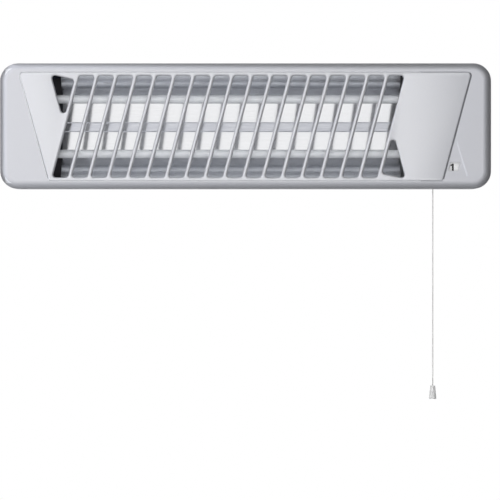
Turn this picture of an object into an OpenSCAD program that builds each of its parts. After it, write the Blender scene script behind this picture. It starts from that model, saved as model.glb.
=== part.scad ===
// Wall-hung quartz heater with two heating tubes, a slanted-slot front panel and a pull-cord switch.
// The wall is the plane y = 0 and the front faces -Y, with +X to the right and +Z up.

/* [Casing] */
// Width of the casing
casing_w = 528; // [500:1:600]
// Height of the casing
casing_h = 135; // [132:1:160]
// Depth of the casing, from its front face to its rear rim
casing_d = 60; // [60:1:80]
// Gap between the casing's rear rim and the wall
wall_gap = 40; // [38:1:60]
// Corner radius seen from the front
corner_r = 19; // [16:0.5:22]
// Rounding of the front edge
edge_r = 9; // [7:0.5:10]
// Wall thickness of the casing
wall = 2.2; // [1.8:0.1:2.6]

/* [Front panel] */
// Width of the casing's face beside the panel's seat, at the seat's mid height
seat_side = 35.6; // [34:0.1:38]
// Height of the casing's face above the panel's seat
seat_above = 9.3; // [9:0.1:11]
// Height of the casing's face below the panel's seat
seat_below = 7.9; // [7.5:0.1:10]
// Lean of the panel's sides, the slots and the window from upright, in degrees
lean = 15; // [13:0.1:16]
// Corner radius of the panel
panel_corner_r = 3.5; // [2:0.5:6]
// Sheet thickness of the panel
panel_t = 2; // [1.6:0.1:2.4]
// Groove between the panel and the casing at the top, bottom and left
groove_w = 0.9; // [0.6:0.1:1.2]
// Groove at the right side, which takes up the panel's play
groove_right_w = 1.7; // [1.2:0.1:2.2]
// How far the casing's ledge reaches in under the panel
ledge_w = 1.6; // [1.2:0.1:1.8]
// Thickness of the ledge
ledge_t = 2; // [1.6:0.1:2.4]

/* [Slots] */
// Number of slanted slots
slot_count = 17; // [13:2:17]
// From the panel's left edge to the first slot, at mid height
slots_from_left = 34.6; // [32:0.1:38]
// From the last slot to the panel's right edge, at mid height
slots_from_right = 70.8; // [68:0.1:76]
// Width of a bar between two slots
bar_w = 4.4; // [3:0.1:5]
// Depth of a bar from the panel's front face
bar_depth = 6.5; // [5:0.5:7]
// Panel left standing above and below the slots
slot_margin = 3.4; // [3:0.1:6]
// Corner radius of a slot
slot_corner_r = 2.8; // [1:0.1:4]
// Height of the triangular hole at each end of the field
triangle_h = 48.9; // [38:0.1:50]
// Drop of the triangular hole's short side
triangle_drop = 5.4; // [3:0.1:7]

/* [Reflector and tubes] */
// From the casing's left end to the reflector
reflector_from_left = 66.8; // [64:0.1:72]
// From the reflector's right end to the pull cord
reflector_to_cord = 36.5; // [36:0.1:42]
// Sheet thickness of the reflector
reflector_t = 0.8; // [0.6:0.1:1]
// Depth of the reflector's lips behind the front face
lip_depth = 8.2; // [8:0.1:9]
// From the casing's top or bottom to the reflector's lip
lip_margin = 10.5; // [10:0.1:12]
// Width of the flange outside each lip
lip_flange = 4; // [3:0.1:4.5]
// Height of the steep wall between a lip and the curved middle
steep_h = 24; // [22:0.1:26]
// Radius of the reflector's curved middle
trough_r = 120; // [100:1:160]
// Depth of the middle of the reflector
trough_depth = 50; // [48:0.1:51]
// Width of the raised bead along the middle
bead_w = 7.4; // [6:0.1:9]
// Height of the bead
bead_h = 0.8; // [0.5:0.1:1.2]
// Outer diameter of a quartz tube
tube_d = 9.2; // [8:0.1:10]
// Wall thickness of a quartz tube
tube_wall = 1; // [0.8:0.1:1.2]
// Distance of each tube's axis inside the curved middle's edge
tube_in = 3.5; // [3:0.1:5]
// Depth of the tubes behind the front face
tube_depth = 30; // [28:0.5:32]
// How far the tubes stand out past the reflector's left end
tube_out_left = 18.8; // [16:0.1:20]
// How far the tubes stand out past the reflector's right end
tube_out_right = 10.7; // [8:0.1:11]
// Outer diameter of a heating coil
coil_d = 5.2; // [4:0.1:5.6]
// Length of a ceramic end cap
cap_l = 16; // [15:0.5:16]
// Diameter of a ceramic end cap
cap_d = 15; // [14:0.1:16]
// Depth of the tube's seat in its cap
cap_seat = 6; // [5:0.5:7]
// Diameter of a terminal pin
pin_d = 2; // [1.6:0.1:2.4]
// Length of pin that stands out of its cap
pin_out = 8; // [7:0.5:9]

/* [Pull switch] */
// From the casing's right end to the pull cord
cord_from_right = 62.2; // [60:0.1:64]
// Depth of the pull cord behind the front face
cord_depth = 18; // [17:0.5:19]
// Diameter of the pull cord
cord_d = 1.2; // [1:0.1:1.6]
// Length of the cord from the casing to its knob
cord_l = 212; // [150:1:300]
// Distance of the cord from the ratchet wheel's axis
arm_reach = 10.5; // [10:0.1:11]
// Height of the ratchet wheel's axis above the casing's underside
axis_above = 32.5; // [32:0.1:34]
// Outer radius of the ratchet wheel
ratchet_r = 7; // [6.4:0.1:7]
// Depth of a ratchet tooth
tooth_h = 1.8; // [1.2:0.1:2]
// Radius of the indicator disc
disc_r = 22.5; // [22:0.1:23]
// Thickness of the indicator disc
disc_t = 1.4; // [1.2:0.1:1.5]
// Wall thickness of the switch housing
switch_wall = 1.8; // [1.6:0.1:2]
// Diameter of the wheel's shaft
shaft_d = 4; // [3.6:0.1:4.4]
// Wire diameter of the return spring
spring_wire = 0.5; // [0.4:0.05:0.6]
// Mean radius of the return spring
spring_r = 2.1; // [1.9:0.05:2.2]
// Turns of the return spring
spring_turns = 5; // [4:1:6]

/* [Indicator window] */
// Width of the casing's face between the panel's seat and the window
window_web = 1.9; // [1.8:0.1:2.6]
// Drop of the window's centre below the ratchet wheel's axis
window_drop = 8.6; // [8:0.1:9.4]
// Width of the window
window_w = 10; // [8.6:0.1:10.4]
// Height of the window
window_h = 8.9; // [8:0.1:10]
// Depth of the triangular recess round the window
recess_depth = 0.8; // [0.5:0.1:1]

/* [Wall bracket] */
// Distance of the tilt axis from the wall
pivot_out = 22; // [20:0.5:24]
// Width over the bracket's two arms
bracket_w = 160; // [150:1:170]
// Height of the bracket's wall plate
bracket_h = 40; // [36:1:50]
// Sheet thickness of the bracket and the lugs
bracket_t = 2.5; // [2:0.1:3]
// Distance between the two wall screw holes
wall_hole_pitch = 100; // [90:1:110]
// Diameter of the wall screw holes
wall_hole_d = 5.5; // [4.5:0.1:6]
// Diameter of the tilt bolts
bolt_d = 5; // [4:0.1:6]

/* [Fits] */
// Gap between parts that seat on each other
seat_gap = 0.2; // [0.1:0.05:0.3]
// Radial play of a shaft in its bore
running_play = 0.08; // [0.05:0.01:0.1]
// Gap between parts that move past each other
moving_gap = 0.4; // [0.3:0.05:0.5]
// Gap on each side of a friction washer
washer_gap = 0.1; // [0.05:0.05:0.15]

/* [Hidden] */
$fn = 48;
eps = 0.01;

// The casing's front face and its places in depth
front_y = -(wall_gap + casing_d);
rim_step = 1.5;
plate_t = 1.5;
plate_d = casing_d - rim_step - plate_t;
ledge_d = panel_t + seat_gap;
function at(d) = front_y + d;

// Places seen from the front, worked out from the casing's edges
right_end = casing_w / 2;
underside = -casing_h / 2;
seat_half_w = right_end - seat_side;
panel_half_h = (casing_h - seat_above - seat_below) / 2 - groove_w;
panel_z = (seat_below - seat_above) / 2;
function grown(g) = g / cos(lean);
panel_left = seat_half_w - grown(groove_w);
panel_right = seat_half_w - grown(groove_right_w);
slot_half_h = panel_half_h - slot_margin;
slots_left = slots_from_left - panel_left;
slots_right = panel_right - slots_from_right;
slot_pitch = (slots_right - slots_left + bar_w) / slot_count;
field_x = (slots_left + slots_right) / 2;
cord_x = right_end - cord_from_right;
axis_x = cord_x + arm_reach;
axis_z = underside + axis_above;
reflector_x0 = reflector_from_left - right_end;
reflector_x1 = cord_x - reflector_to_cord;
tube_x0 = reflector_x0 - tube_out_left;
tube_x1 = reflector_x1 + tube_out_right;
lip_half_h = casing_h / 2 - lip_margin;
trough_half_h = lip_half_h - steep_h;
tube_z = trough_half_h - tube_in;

// Screws and bosses
screw_r = 1.5;
boss_r = 4;
corner_boss_x = casing_w / 2 - 15;
corner_boss_z = casing_h / 2 - 15.5;
mid_boss_x = 90;
mid_boss_z = casing_h / 2 - wall - boss_r + 0.3;
mid_boss_l = 33;
plate_screw_places = concat(
    [for (sx = [-1, 1], sz = [-1, 1]) [sx * corner_boss_x, sz * corner_boss_z]],
    [for (sx = [-1, 1], sz = [-1, 1]) [sx * mid_boss_x, sz * mid_boss_z]]);

// Unit normal on the right-hand side of the line from p to q
function side_normal(p, q) = let (d = (q - p) / norm(q - p)) [d[1], -d[0]];
// Outline with each corner of a convex, anticlockwise outline turned into an arc
function rounded(points, r, steps = 5) = let (n = len(points)) [
    for (i = [0:n - 1])
        let (
            before = side_normal(points[(i + n - 1) % n], points[i]),
            after = side_normal(points[i], points[(i + 1) % n]),
            centre = points[i] - (before + after) * r / (1 + before * after),
            start = atan2(before[1], before[0]),
            turn = (atan2(after[1], after[0]) - start + 720) % 360
        )
        for (k = [0:steps])
            centre + r * [cos(start + turn * k / steps), sin(start + turn * k / steps)]];
// A line moved sideways by t, with its corners mitred
function shifted(points, t) = let (n = len(points)) [
    for (i = [0:n - 1])
        let (
            before = side_normal(points[max(i - 1, 0)], points[max(i, 1)]),
            after = side_normal(points[min(i, n - 2)], points[min(i + 1, n - 1)])
        )
        points[i] + (before + after) * t / (1 + before * after)];
function reversed(list) = [for (i = [len(list) - 1:-1:0]) list[i]];
function rectangle(w, h) = [[-w / 2, -h / 2], [w / 2, -h / 2], [w / 2, h / 2], [-w / 2, h / 2]];
// The panel's outline, with its sides leaning outwards towards the top
function trapezoid(left, right, half_h) = let (run = half_h * tan(lean)) [
    [-left + run, panel_z - half_h], [right - run, panel_z - half_h],
    [right + run, panel_z + half_h], [-left - run, panel_z + half_h]];

// A flat piece seen from the front: from depth d, t thick
module face_on(d, t) {
    translate([0, at(d) + t, 0])
        rotate([90, 0, 0])
            linear_extrude(t)
                children();
}
// A round piece whose axis runs from front to back
module along_y(x, z, d, length, r) {
    translate([x, at(d) + length, z])
        rotate([90, 0, 0])
            cylinder(r = r, h = length);
}
// A flat piece seen from the side, drawn as y and z: from x, t thick
module side_on(x, t) {
    translate([x, 0, 0])
        rotate([90, 0, 90])
            linear_extrude(t)
                children();
}
// A round piece whose axis runs from left to right
module along_x(x, y, z, length, r) {
    translate([x, y, z])
        rotate([0, 90, 0])
            cylinder(r = r, h = length);
}
module mirrored_x() {
    children();
    mirror([1, 0, 0])
        children();
}

// Screw with a domed head, drawn with its head on the plane z = 0 and its shank pointing down
module screw(head_r, head_h, shank_r, length) {
    difference() {
        union() {
            intersection() {
                cylinder(r = head_r, h = head_h);
                translate([0, 0, -head_r])
                    sphere(r = head_r * 1.28 + head_h * 0.3);
            }
            translate([0, 0, -length])
                cylinder(r = shank_r, h = length + eps);
        }
        for (a = [0, 90])
            rotate([0, 0, a])
                translate([-head_r * 0.5, -0.35, head_h - 0.7])
                    cube([head_r, 0.7, 2]);
    }
}
// The same screw driven in from behind the object, with its head's seat at depth d
module screw_from_rear(x, z, d, head_r, head_h, shank_r, length) {
    translate([x, at(d), z])
        rotate([-90, 0, 0])
            screw(head_r, head_h, shank_r, length);
}
module screw_from_front(x, z, d, head_r, head_h, shank_r, length) {
    translate([x, at(d), z])
        rotate([90, 0, 0])
            screw(head_r, head_h, shank_r, length);
}

// Block with a rounded outline of corner radius r and a front edge of radius e, front at z = depth
module edge_profile(r, e, depth) {
    difference() {
        square([r, depth]);
        translate([r - e, depth - e])
            difference() {
                square([e + 1, e + 1]);
                circle(r = e);
            }
    }
}
module pillow(w, h, r, e, depth) {
    for (q = [0:3]) {
        along = (q % 2 == 0) ? h : w;
        out = (q % 2 == 0) ? w : h;
        rotate([0, 0, 90 * q])
            translate([out / 2 - r, along / 2 - r, 0])
                rotate_extrude(angle = 90)
                    edge_profile(r, e, depth);
        rotate([0, 0, 90 * q])
            translate([out / 2 - r, along / 2 - r, 0])
                rotate([90, 0, 0])
                    linear_extrude(along - 2 * r)
                        edge_profile(r, e, depth);
    }
    translate([-w / 2 + r, -h / 2 + r, 0])
        cube([w - 2 * r, h - 2 * r, depth]);
}

// Swept tubes
function between(a, b, c, d, t) = 0.5 * (2 * b + (c - a) * t + (2 * a - 5 * b + 4 * c - d) * t * t
    + (3 * b - a - 3 * c + d) * t * t * t);
function smooth_path(points, steps) = let (n = len(points)) concat(
    [for (i = [0:n - 2], k = [0:steps - 1])
        between(points[max(i - 1, 0)], points[i], points[i + 1], points[min(i + 2, n - 1)], k / steps)],
    [points[n - 1]]);
function unit(v) = v / norm(v);
function headings(path) = let (n = len(path)) [
    for (i = [0:n - 1]) unit(path[min(i + 1, n - 1)] - path[max(i - 1, 0)])];
function sideways(heads, i, side) = (i >= len(heads)) ? [] :
    let (s = unit(side - heads[i] * (side * heads[i])))
    concat([s], sideways(heads, i + 1, s));
module swept(path, r, sides, start_side = [0.31, 0.92, 0.24]) {
    heads = headings(path);
    across = sideways(heads, 0, start_side);
    rings = len(path);
    points = [for (i = [0:rings - 1], k = [0:sides - 1])
        let (a = 360 * k / sides)
        path[i] + r * (cos(a) * across[i] + sin(a) * cross(heads[i], across[i]))];
    walls = [for (i = [0:rings - 2], k = [0:sides - 1], half = [0, 1])
        let (
            a = i * sides + k,
            b = i * sides + (k + 1) % sides
        )
        (half == 0) ? [a, a + sides, b] : [b, a + sides, b + sides]];
    first = [for (k = [1:sides - 2]) [0, k, k + 1]];
    base = (rings - 1) * sides;
    last = [for (k = [1:sides - 2]) [base, base + k + 1, base + k]];
    polyhedron(points = points, faces = concat(walls, first, last), convexity = 8);
}

// Wall bracket: a bent strip with two rounded arms
bend_r = 4.5;
arm_r = 10;
arm_x = bracket_w / 2 - bracket_t;
module bent_u(w, length, t, r) {
    difference() {
        polygon(rounded([[-w / 2, -length - r], [w / 2, -length - r], [w / 2, 0], [-w / 2, 0]], r));
        polygon(rounded([[-w / 2 + t, -length - 2 * r], [w / 2 - t, -length - 2 * r],
            [w / 2 - t, -t], [-w / 2 + t, -t]], r - t));
        translate([-w / 2 - 1, -length - 2 * r])
            square([w + 2, 2 * r]);
    }
}
module wall_bracket() {
    arm_l = pivot_out + arm_r;
    color("silver")
        difference() {
            intersection() {
                translate([0, 0, -bracket_h / 2])
                    linear_extrude(bracket_h)
                        bent_u(bracket_w, arm_l, bracket_t, bend_r);
                union() {
                    translate([-bracket_w / 2 + bend_r, -bend_r, -bracket_h / 2])
                        cube([bracket_w - 2 * bend_r, bend_r + 1, bracket_h]);
                    side_on(-bracket_w, 2 * bracket_w)
                        polygon([[1, -bracket_h / 2], [1, bracket_h / 2], [-bend_r, bracket_h / 2],
                            [-pivot_out, arm_r], [-pivot_out, -arm_r], [-bend_r, -bracket_h / 2]]);
                    along_x(-bracket_w, -pivot_out, 0, 2 * bracket_w, arm_r);
                }
            }
            along_x(-bracket_w, -pivot_out, 0, 2 * bracket_w, bolt_d / 2 + running_play);
            for (sx = [-1, 1])
                translate([sx * wall_hole_pitch / 2, 1, 0])
                    rotate([90, 0, 0])
                        cylinder(d = wall_hole_d, h = bracket_t + 2);
        }
}

// Tilt hinge: each lug stands on the back plate inside a bracket arm
washer_t = 1.2;
lug_x = arm_x - washer_t - 2 * washer_gap;
lug_r = 8;
lug_foot = 20;
lug_h = 30;
lug_screw_z = 10;
lug_screw_x = lug_x - 13;
module tilt_lug(side) {
    foot_y = at(plate_d + plate_t);
    reach = -pivot_out - foot_y;
    color("gainsboro")
        mirror([(side < 0) ? 1 : 0, 0, 0])
            difference() {
                union() {
                    translate([lug_x - lug_foot, foot_y, -lug_h / 2])
                        cube([lug_foot, bracket_t, lug_h]);
                    side_on(lug_x - bracket_t, bracket_t)
                        polygon([[foot_y, -lug_h / 2], [foot_y + reach, -lug_r],
                            [foot_y + reach, lug_r], [foot_y, lug_h / 2]]);
                    along_x(lug_x - bracket_t, -pivot_out, 0, bracket_t, lug_r);
                }
                along_x(lug_x - bracket_t - 1, -pivot_out, 0, bracket_t + 2, bolt_d / 2 + running_play);
                for (sz = [-1, 1])
                    translate([lug_screw_x, foot_y - 1, sz * lug_screw_z])
                        rotate([-90, 0, 0])
                            cylinder(r = 2.1, h = bracket_t + 2);
            }
}
module tilt_lug_left() tilt_lug(-1);
module tilt_lug_right() tilt_lug(1);
lug_screw_r = 2;
module lug_screws() {
    color("dimgray")
        for (sx = [-1, 1], sz = [-1, 1])
            screw_from_rear(sx * lug_screw_x, sz * lug_screw_z, plate_d + plate_t + bracket_t,
                3.8, 2.2, lug_screw_r, bracket_t + plate_t + 4);
}
hex_flat = 8;
hex_h = 3.5;
nut_h = 4;
module tilt_bolts() {
    length = bracket_t + washer_t + bracket_t + nut_h + 3;
    color("dimgray")
        mirrored_x()
            union() {
                along_x(lug_x - bracket_t - eps, -pivot_out, 0, length, bolt_d / 2);
                translate([lug_x - bracket_t - hex_h, -pivot_out, 0])
                    rotate([0, 90, 0])
                        cylinder(d = hex_flat / cos(30), h = hex_h, $fn = 6);
            }
}
module tilt_nuts() {
    color("dimgray")
        mirrored_x()
            translate([arm_x + bracket_t + washer_gap, -pivot_out, 0])
                rotate([0, 90, 0])
                    difference() {
                        union() {
                            cylinder(r = 5.6, h = 1);
                            cylinder(d = hex_flat / cos(30), h = nut_h, $fn = 6);
                        }
                        translate([0, 0, -1])
                            cylinder(r = bolt_d / 2 + 0.03, h = nut_h + 2);
                    }
}
module friction_washers() {
    color("whitesmoke")
        mirrored_x()
            difference() {
                along_x(lug_x + washer_gap, -pivot_out, 0, washer_t, 7);
                along_x(lug_x - 1, -pivot_out, 0, washer_t + 2, bolt_d / 2 + 0.1);
            }
}

// Casing
panel_screw_in = 10;
panel_screw_z = panel_half_h - 16;
panel_screws = concat(
    [for (z = [panel_screw_z, -20]) [panel_screw_in - panel_left - z * tan(lean), panel_z + z]],
    [for (z = [panel_screw_z, -2]) [panel_right - panel_screw_in + z * tan(lean), panel_z + z]]);
panel_boss_r = 3.5;
tab_r = 6;
ring_w = 3;
// A parallelogram that leans like the slots
function leaning(cx, cz, w, h) = let (run = h / 2 * tan(lean)) [
    [cx - w / 2 - run, cz - h / 2], [cx + w / 2 - run, cz - h / 2],
    [cx + w / 2 + run, cz + h / 2], [cx - w / 2 + run, cz + h / 2]];
window_flange = 1.2;
window_flange_t = 1;
window_front = recess_depth + 0.1;
window_t = 3;
// Right edge of the panel's seat at height z
function seat_edge(z) = seat_half_w + (z - panel_z) * tan(lean);
window_z = axis_z - window_drop;
window_x = seat_edge(window_z) + window_web + window_w / 2;
recess_top = window_z + 27.6;
recess_low = [window_x + 13.5, window_z - 10.6];
recess_left_z = window_z - 7;
recess_chamfer = 1.6;
module recess_outline(chamfer) {
    polygon([[seat_edge(recess_left_z) - 1, recess_left_z],
        [recess_low[0] + chamfer, recess_low[1]],
        [seat_edge(recess_top) + 1.2 + chamfer, recess_top],
        [seat_edge(recess_top) - 1, recess_top]]);
}
bush_r = 4;
bush_flange_r = 5.6;
bush_flange_t = 1.4;
housing_x = [cord_x - 12, cord_x + 35];
housing_z = [underside + 5, underside + 58];
switch_ears = [for (z = [housing_z[1] - 5.5, housing_z[0] + 21.5]) [housing_x[1] + 7, z]];
ear_d = 10;
ear_boss_r = 3.4;
module casing() {
    seat = rounded(trapezoid(seat_half_w, seat_half_w, panel_half_h + groove_w), panel_corner_r + groove_w);
    ring = rounded(trapezoid(seat_half_w + grown(ring_w), seat_half_w + grown(ring_w),
        panel_half_h + groove_w + ring_w), panel_corner_r + 2);
    aperture = rounded(trapezoid(panel_left - grown(ledge_w), panel_right - grown(ledge_w),
        panel_half_h - ledge_w), panel_corner_r);
    ring_start = 1.6;
    color("silver")
        difference() {
            union() {
                difference() {
                    union() {
                        difference() {
                            translate([0, at(casing_d), 0])
                                rotate([90, 0, 0])
                                    pillow(casing_w, casing_h, corner_r, edge_r, casing_d);
                            translate([0, at(casing_d) + 1, 0])
                                rotate([90, 0, 0])
                                    pillow(casing_w - 2 * wall, casing_h - 2 * wall, corner_r - wall,
                                        edge_r - wall, casing_d + 1 - wall);
                        }
                        face_on(ring_start, ledge_d + ledge_t - ring_start)
                            polygon(ring);
                    }
                    face_on(-1, ledge_d + 1)
                        polygon(seat);
                    face_on(-1, casing_d)
                        polygon(aperture);
                }
                for (p = panel_screws)
                    face_on(ledge_d, ledge_t)
                        translate(p) {
                            circle(r = tab_r);
                            translate([(p[0] < 0) ? -panel_screw_in - 1 : 0, -tab_r])
                                square([panel_screw_in + 1, 2 * tab_r]);
                        }
                for (p = [for (k = [0:3]) plate_screw_places[k]])
                    along_y(p[0], p[1], wall - 0.5, plate_d - wall + 0.5, boss_r);
                for (p = [for (k = [4:7]) plate_screw_places[k]])
                    along_y(p[0], p[1], plate_d - mid_boss_l, mid_boss_l, boss_r);
                for (p = switch_ears)
                    along_y(p[0], p[1], wall - 0.5, ear_d - wall + 0.5, ear_boss_r);
            }
            for (p = panel_screws)
                along_y(p[0], p[1], ledge_d - 1, ledge_t + 2, panel_boss_r + 0.4);
            for (p = plate_screw_places)
                along_y(p[0], p[1], plate_d - 14, 15, screw_r + 0.05);
            for (p = switch_ears)
                along_y(p[0], p[1], ear_d - 6, 7, screw_r + 0.05);
            hull() {
                face_on(-0.1, 0.1 + eps)
                    recess_outline(recess_chamfer);
                face_on(recess_depth - eps, eps)
                    recess_outline(0);
            }
            face_on(0, 8)
                polygon(leaning(window_x, window_z, window_w + 2 * seat_gap, window_h + 2 * seat_gap));
            face_on(window_front + window_t - window_flange_t - seat_gap, 8)
                polygon(leaning(window_x, window_z, window_w + 2 * window_flange + 2 * seat_gap,
                    window_h + 2 * window_flange + 2 * seat_gap));
            translate([cord_x, at(cord_depth), underside - 1])
                cylinder(r = bush_r + 0.1, h = wall + 2);
        }
}

// Front panel
function slot_outline(cx, w, half_h) = leaning(cx, panel_z, w, 2 * half_h);
// Triangle whose two long sides lean alike, one along the first bar
function end_triangle() = let (
        side = slots_left - bar_w,
        tip_z = slot_half_h + 1,
        foot_z = tip_z - triangle_h,
        shoulder_z = tip_z - triangle_drop,
        foot_x = side + foot_z * tan(lean)
    )
    [[foot_x - triangle_h * tan(lean), panel_z + tip_z],
        [foot_x, panel_z + foot_z],
        [side + shoulder_z * tan(lean), panel_z + shoulder_z]];
// The same outline turned half a turn about the middle of the field
function half_turn(points) = [for (p = points) [2 * field_x - p[0], 2 * panel_z - p[1]]];
module front_grille() {
    corner_steps = 4;
    rim = slot_margin - ledge_w - seat_gap;
    color("gainsboro")
        difference() {
            union() {
                face_on(0, panel_t)
                    polygon(rounded(trapezoid(panel_left, panel_right, panel_half_h), panel_corner_r));
                face_on(panel_t - eps, bar_depth - panel_t)
                    polygon(slot_outline(field_x, slots_right - slots_left + 2 * rim, slot_half_h + rim));
                for (p = panel_screws)
                    along_y(p[0], p[1], panel_t - eps, ledge_d + ledge_t + 0.3 - panel_t, panel_boss_r);
            }
            for (k = [0:slot_count - 1])
                face_on(-1, bar_depth + 3)
                    polygon(rounded(slot_outline(field_x + (k - (slot_count - 1) / 2) * slot_pitch,
                        slot_pitch - bar_w, slot_half_h), slot_corner_r, corner_steps));
            face_on(-1, bar_depth + 3)
                polygon(rounded(end_triangle(), slot_corner_r, corner_steps));
            face_on(-1, bar_depth + 3)
                polygon(rounded(half_turn(end_triangle()), slot_corner_r, corner_steps));
            for (p = panel_screws)
                along_y(p[0], p[1], 1, 8, 1.3);
        }
}
module grille_screws() {
    color("dimgray")
        for (p = panel_screws)
            screw_from_rear(p[0], p[1], ledge_d + ledge_t + 0.3, 5, 2, 1.25, 3);
}
module indicator_window() {
    color("aliceblue")
        union() {
            face_on(window_front, window_t)
                polygon(leaning(window_x, window_z, window_w, window_h));
            face_on(window_front + window_t - window_flange_t, window_flange_t)
                polygon(leaning(window_x, window_z, window_w + 2 * window_flange,
                    window_h + 2 * window_flange));
        }
}

// Back plate with its vents, and what is fixed to it
entry_x = right_end - 36;
grommet_at = [entry_x, -34];
grommet_groove_r = 7;
block_at = [entry_x, 25];
clamp_at = [entry_x, -12];
earth_at = [entry_x - 24, casing_h / 2 - 17.5];
saddle_x = [reflector_x0 + 47, reflector_x1 - 45];
saddle_t = 1.2;
foot_w = 12;
foot_t = 1.2;
foot_gap = 0.05;
saddle_foot_z = lip_half_h - 17;
holder_t = 1.5;
holder_foot_z = 12;
cap_groove = [cap_l / 2 - 0.9, cap_l / 2 + 0.9];
// Place along x of a point that lies s mm out from the inner face of the end caps on one side
function from_cap(side, s) = (side < 0) ? tube_x0 + cap_seat - s : tube_x1 - cap_seat + s;
function holder_x(side) = from_cap(side, cap_l / 2) - holder_t / 2;
function foot_x(x) = x + foot_w / 2 + 1;
rivet_places = concat(
    [for (x = saddle_x, sz = [-1, 1]) [foot_x(x), sz * saddle_foot_z]],
    [for (side = [-1, 1], sz = [-1, 1]) [foot_x(holder_x(side)), sz * holder_foot_z]]);
rivet_r = 1.6;
vent_count = 9;
vent_pitch = 36;
vent_w = 26;
vent_h = 3.2;
vent_z = casing_h / 2 - 15.5;
module back_plate() {
    clear = 0.4;
    color("lightgray")
        difference() {
            face_on(plate_d, plate_t)
                polygon(rounded(rectangle(casing_w - 2 * wall - 2 * clear, casing_h - 2 * wall - 2 * clear),
                    corner_r - wall - clear, 8));
            for (p = plate_screw_places)
                along_y(p[0], p[1], plate_d - 1, plate_t + 2, screw_r + 0.2);
            for (sx = [-1, 1], sz = [-1, 1])
                along_y(sx * lug_screw_x, sz * lug_screw_z, plate_d - 1, plate_t + 2, lug_screw_r + 0.05);
            for (p = rivet_places)
                along_y(p[0], p[1], plate_d - 1, plate_t + 2, rivet_r + 0.05);
            for (k = [0:vent_count - 1], sz = [-1, 1])
                face_on(plate_d - 1, plate_t + 2)
                    translate([field_x + (k - (vent_count - 1) / 2) * vent_pitch, sz * vent_z])
                        square([vent_w, vent_h], center = true);
            along_y(grommet_at[0], grommet_at[1], plate_d - 1, plate_t + 2, grommet_groove_r + 0.1);
            for (sx = [-1, 1])
                along_y(clamp_at[0] + sx * clamp_screw_x, clamp_at[1], plate_d - 1, plate_t + 2, 1.3);
            for (sx = [-1, 1])
                along_y(block_at[0] + sx * block_screw_x, block_at[1], plate_d - 1, plate_t + 2, 1.3);
            along_y(earth_at[0], earth_at[1], plate_d - 1, plate_t + 2, 1.8);
        }
}
module back_plate_screws() {
    color("dimgray")
        for (p = plate_screw_places)
            screw_from_rear(p[0], p[1], plate_d + plate_t, 3.2, 2, screw_r, 12);
}
module inner_rivets() {
    color("silver")
        for (p = rivet_places)
            union() {
                along_y(p[0], p[1], plate_d - foot_t - 1, foot_t + plate_t + 2, rivet_r);
                along_y(p[0], p[1], plate_d - 2 * foot_gap - foot_t - 1.2, 1.2, 2.4);
                along_y(p[0], p[1], plate_d + plate_t, 1, 3);
            }
}

// Reflector: a flat flange, a steep wall, a shallow curved middle with a bead, and the same again
arc_steps = 9;
function trough_d(z) = trough_depth - trough_r + sqrt(trough_r * trough_r - z * z);
function upper_half() = concat(
    [[lip_depth, lip_half_h + lip_flange], [lip_depth, lip_half_h]],
    [for (k = [0:arc_steps])
        let (z = trough_half_h + (bead_w / 2 + 0.6 - trough_half_h) * k / arc_steps) [trough_d(z), z]],
    [[trough_depth - bead_h, bead_w / 2]]);
function mirrored_line(points) = [for (p = reversed(points)) [p[0], -p[1]]];
reflector_line = [for (p = concat(upper_half(), mirrored_line(upper_half()))) [at(p[0]), p[1]]];
module reflector() {
    color("lightsteelblue")
        side_on(reflector_x0, reflector_x1 - reflector_x0)
            polygon(concat(reflector_line, reversed(shifted(reflector_line, -reflector_t))));
}
module reflector_saddle(x) {
    line = shifted(reflector_line, -(reflector_t + seat_gap));
    n = len(line);
    rear = at(plate_d - foot_gap);
    notch_z = lip_half_h - 7;
    notch_d = at(40);
    color("silver")
        difference() {
            union() {
                side_on(x, saddle_t)
                    polygon(concat([for (i = [0:n - 1]) line[i]],
                        [[notch_d, -lip_half_h - lip_flange], [notch_d, -notch_z], [rear, -notch_z],
                            [rear, notch_z], [notch_d, notch_z], [notch_d, lip_half_h + lip_flange]]));
                for (sz = [-1, 1])
                    translate([x, rear - foot_t, sz * saddle_foot_z - 7])
                        cube([foot_w, foot_t, 14]);
            }
            for (sz = [-1, 1])
                along_y(foot_x(x), sz * saddle_foot_z, plate_d - 5, 8, rivet_r + 0.05);
        }
}
module reflector_saddle_left() reflector_saddle(saddle_x[0]);
module reflector_saddle_right() reflector_saddle(saddle_x[1]);

// Quartz tubes, their coils, ceramic caps and terminal pins
module quartz_tube(z) {
    color("white")
        difference() {
            along_x(tube_x0, at(tube_depth), z, tube_x1 - tube_x0, tube_d / 2);
            along_x(tube_x0 - 1, at(tube_depth), z, tube_x1 - tube_x0 + 2, tube_d / 2 - tube_wall);
        }
}
module quartz_tube_upper() quartz_tube(tube_z);
module quartz_tube_lower() quartz_tube(-tube_z);
coil_in = 12;
tail_r = 0.6;
pin_in = 4;
module heating_coil(z) {
    x0 = from_cap(-1, pin_in);
    x1 = from_cap(1, pin_in);
    color("sienna")
        union() {
            along_x(x0, at(tube_depth), z, x1 - x0, tail_r);
            along_x(tube_x0 + coil_in, at(tube_depth), z, tube_x1 - tube_x0 - 2 * coil_in, coil_d / 2);
        }
}
module heating_coil_upper() heating_coil(tube_z);
module heating_coil_lower() heating_coil(-tube_z);
groove_r = cap_d / 2 - 1;
module end_cap(side, z) {
    bore = tube_d / 2 + 0.1;
    pin_bore = pin_d / 2 + 0.1;
    chamfer = 1.5;
    color("ivory")
        translate([from_cap(side, 0), at(tube_depth), z])
            rotate([0, side * 90, 0])
                rotate_extrude()
                    polygon([[bore, 0], [cap_d / 2, 0], [cap_d / 2, cap_groove[0]], [groove_r, cap_groove[0]],
                        [groove_r, cap_groove[1]], [cap_d / 2, cap_groove[1]],
                        [cap_d / 2, cap_l - chamfer], [cap_d / 2 - chamfer, cap_l], [pin_bore, cap_l],
                        [pin_bore, cap_seat + 0.1], [bore, cap_seat + 0.1]]);
}
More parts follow.
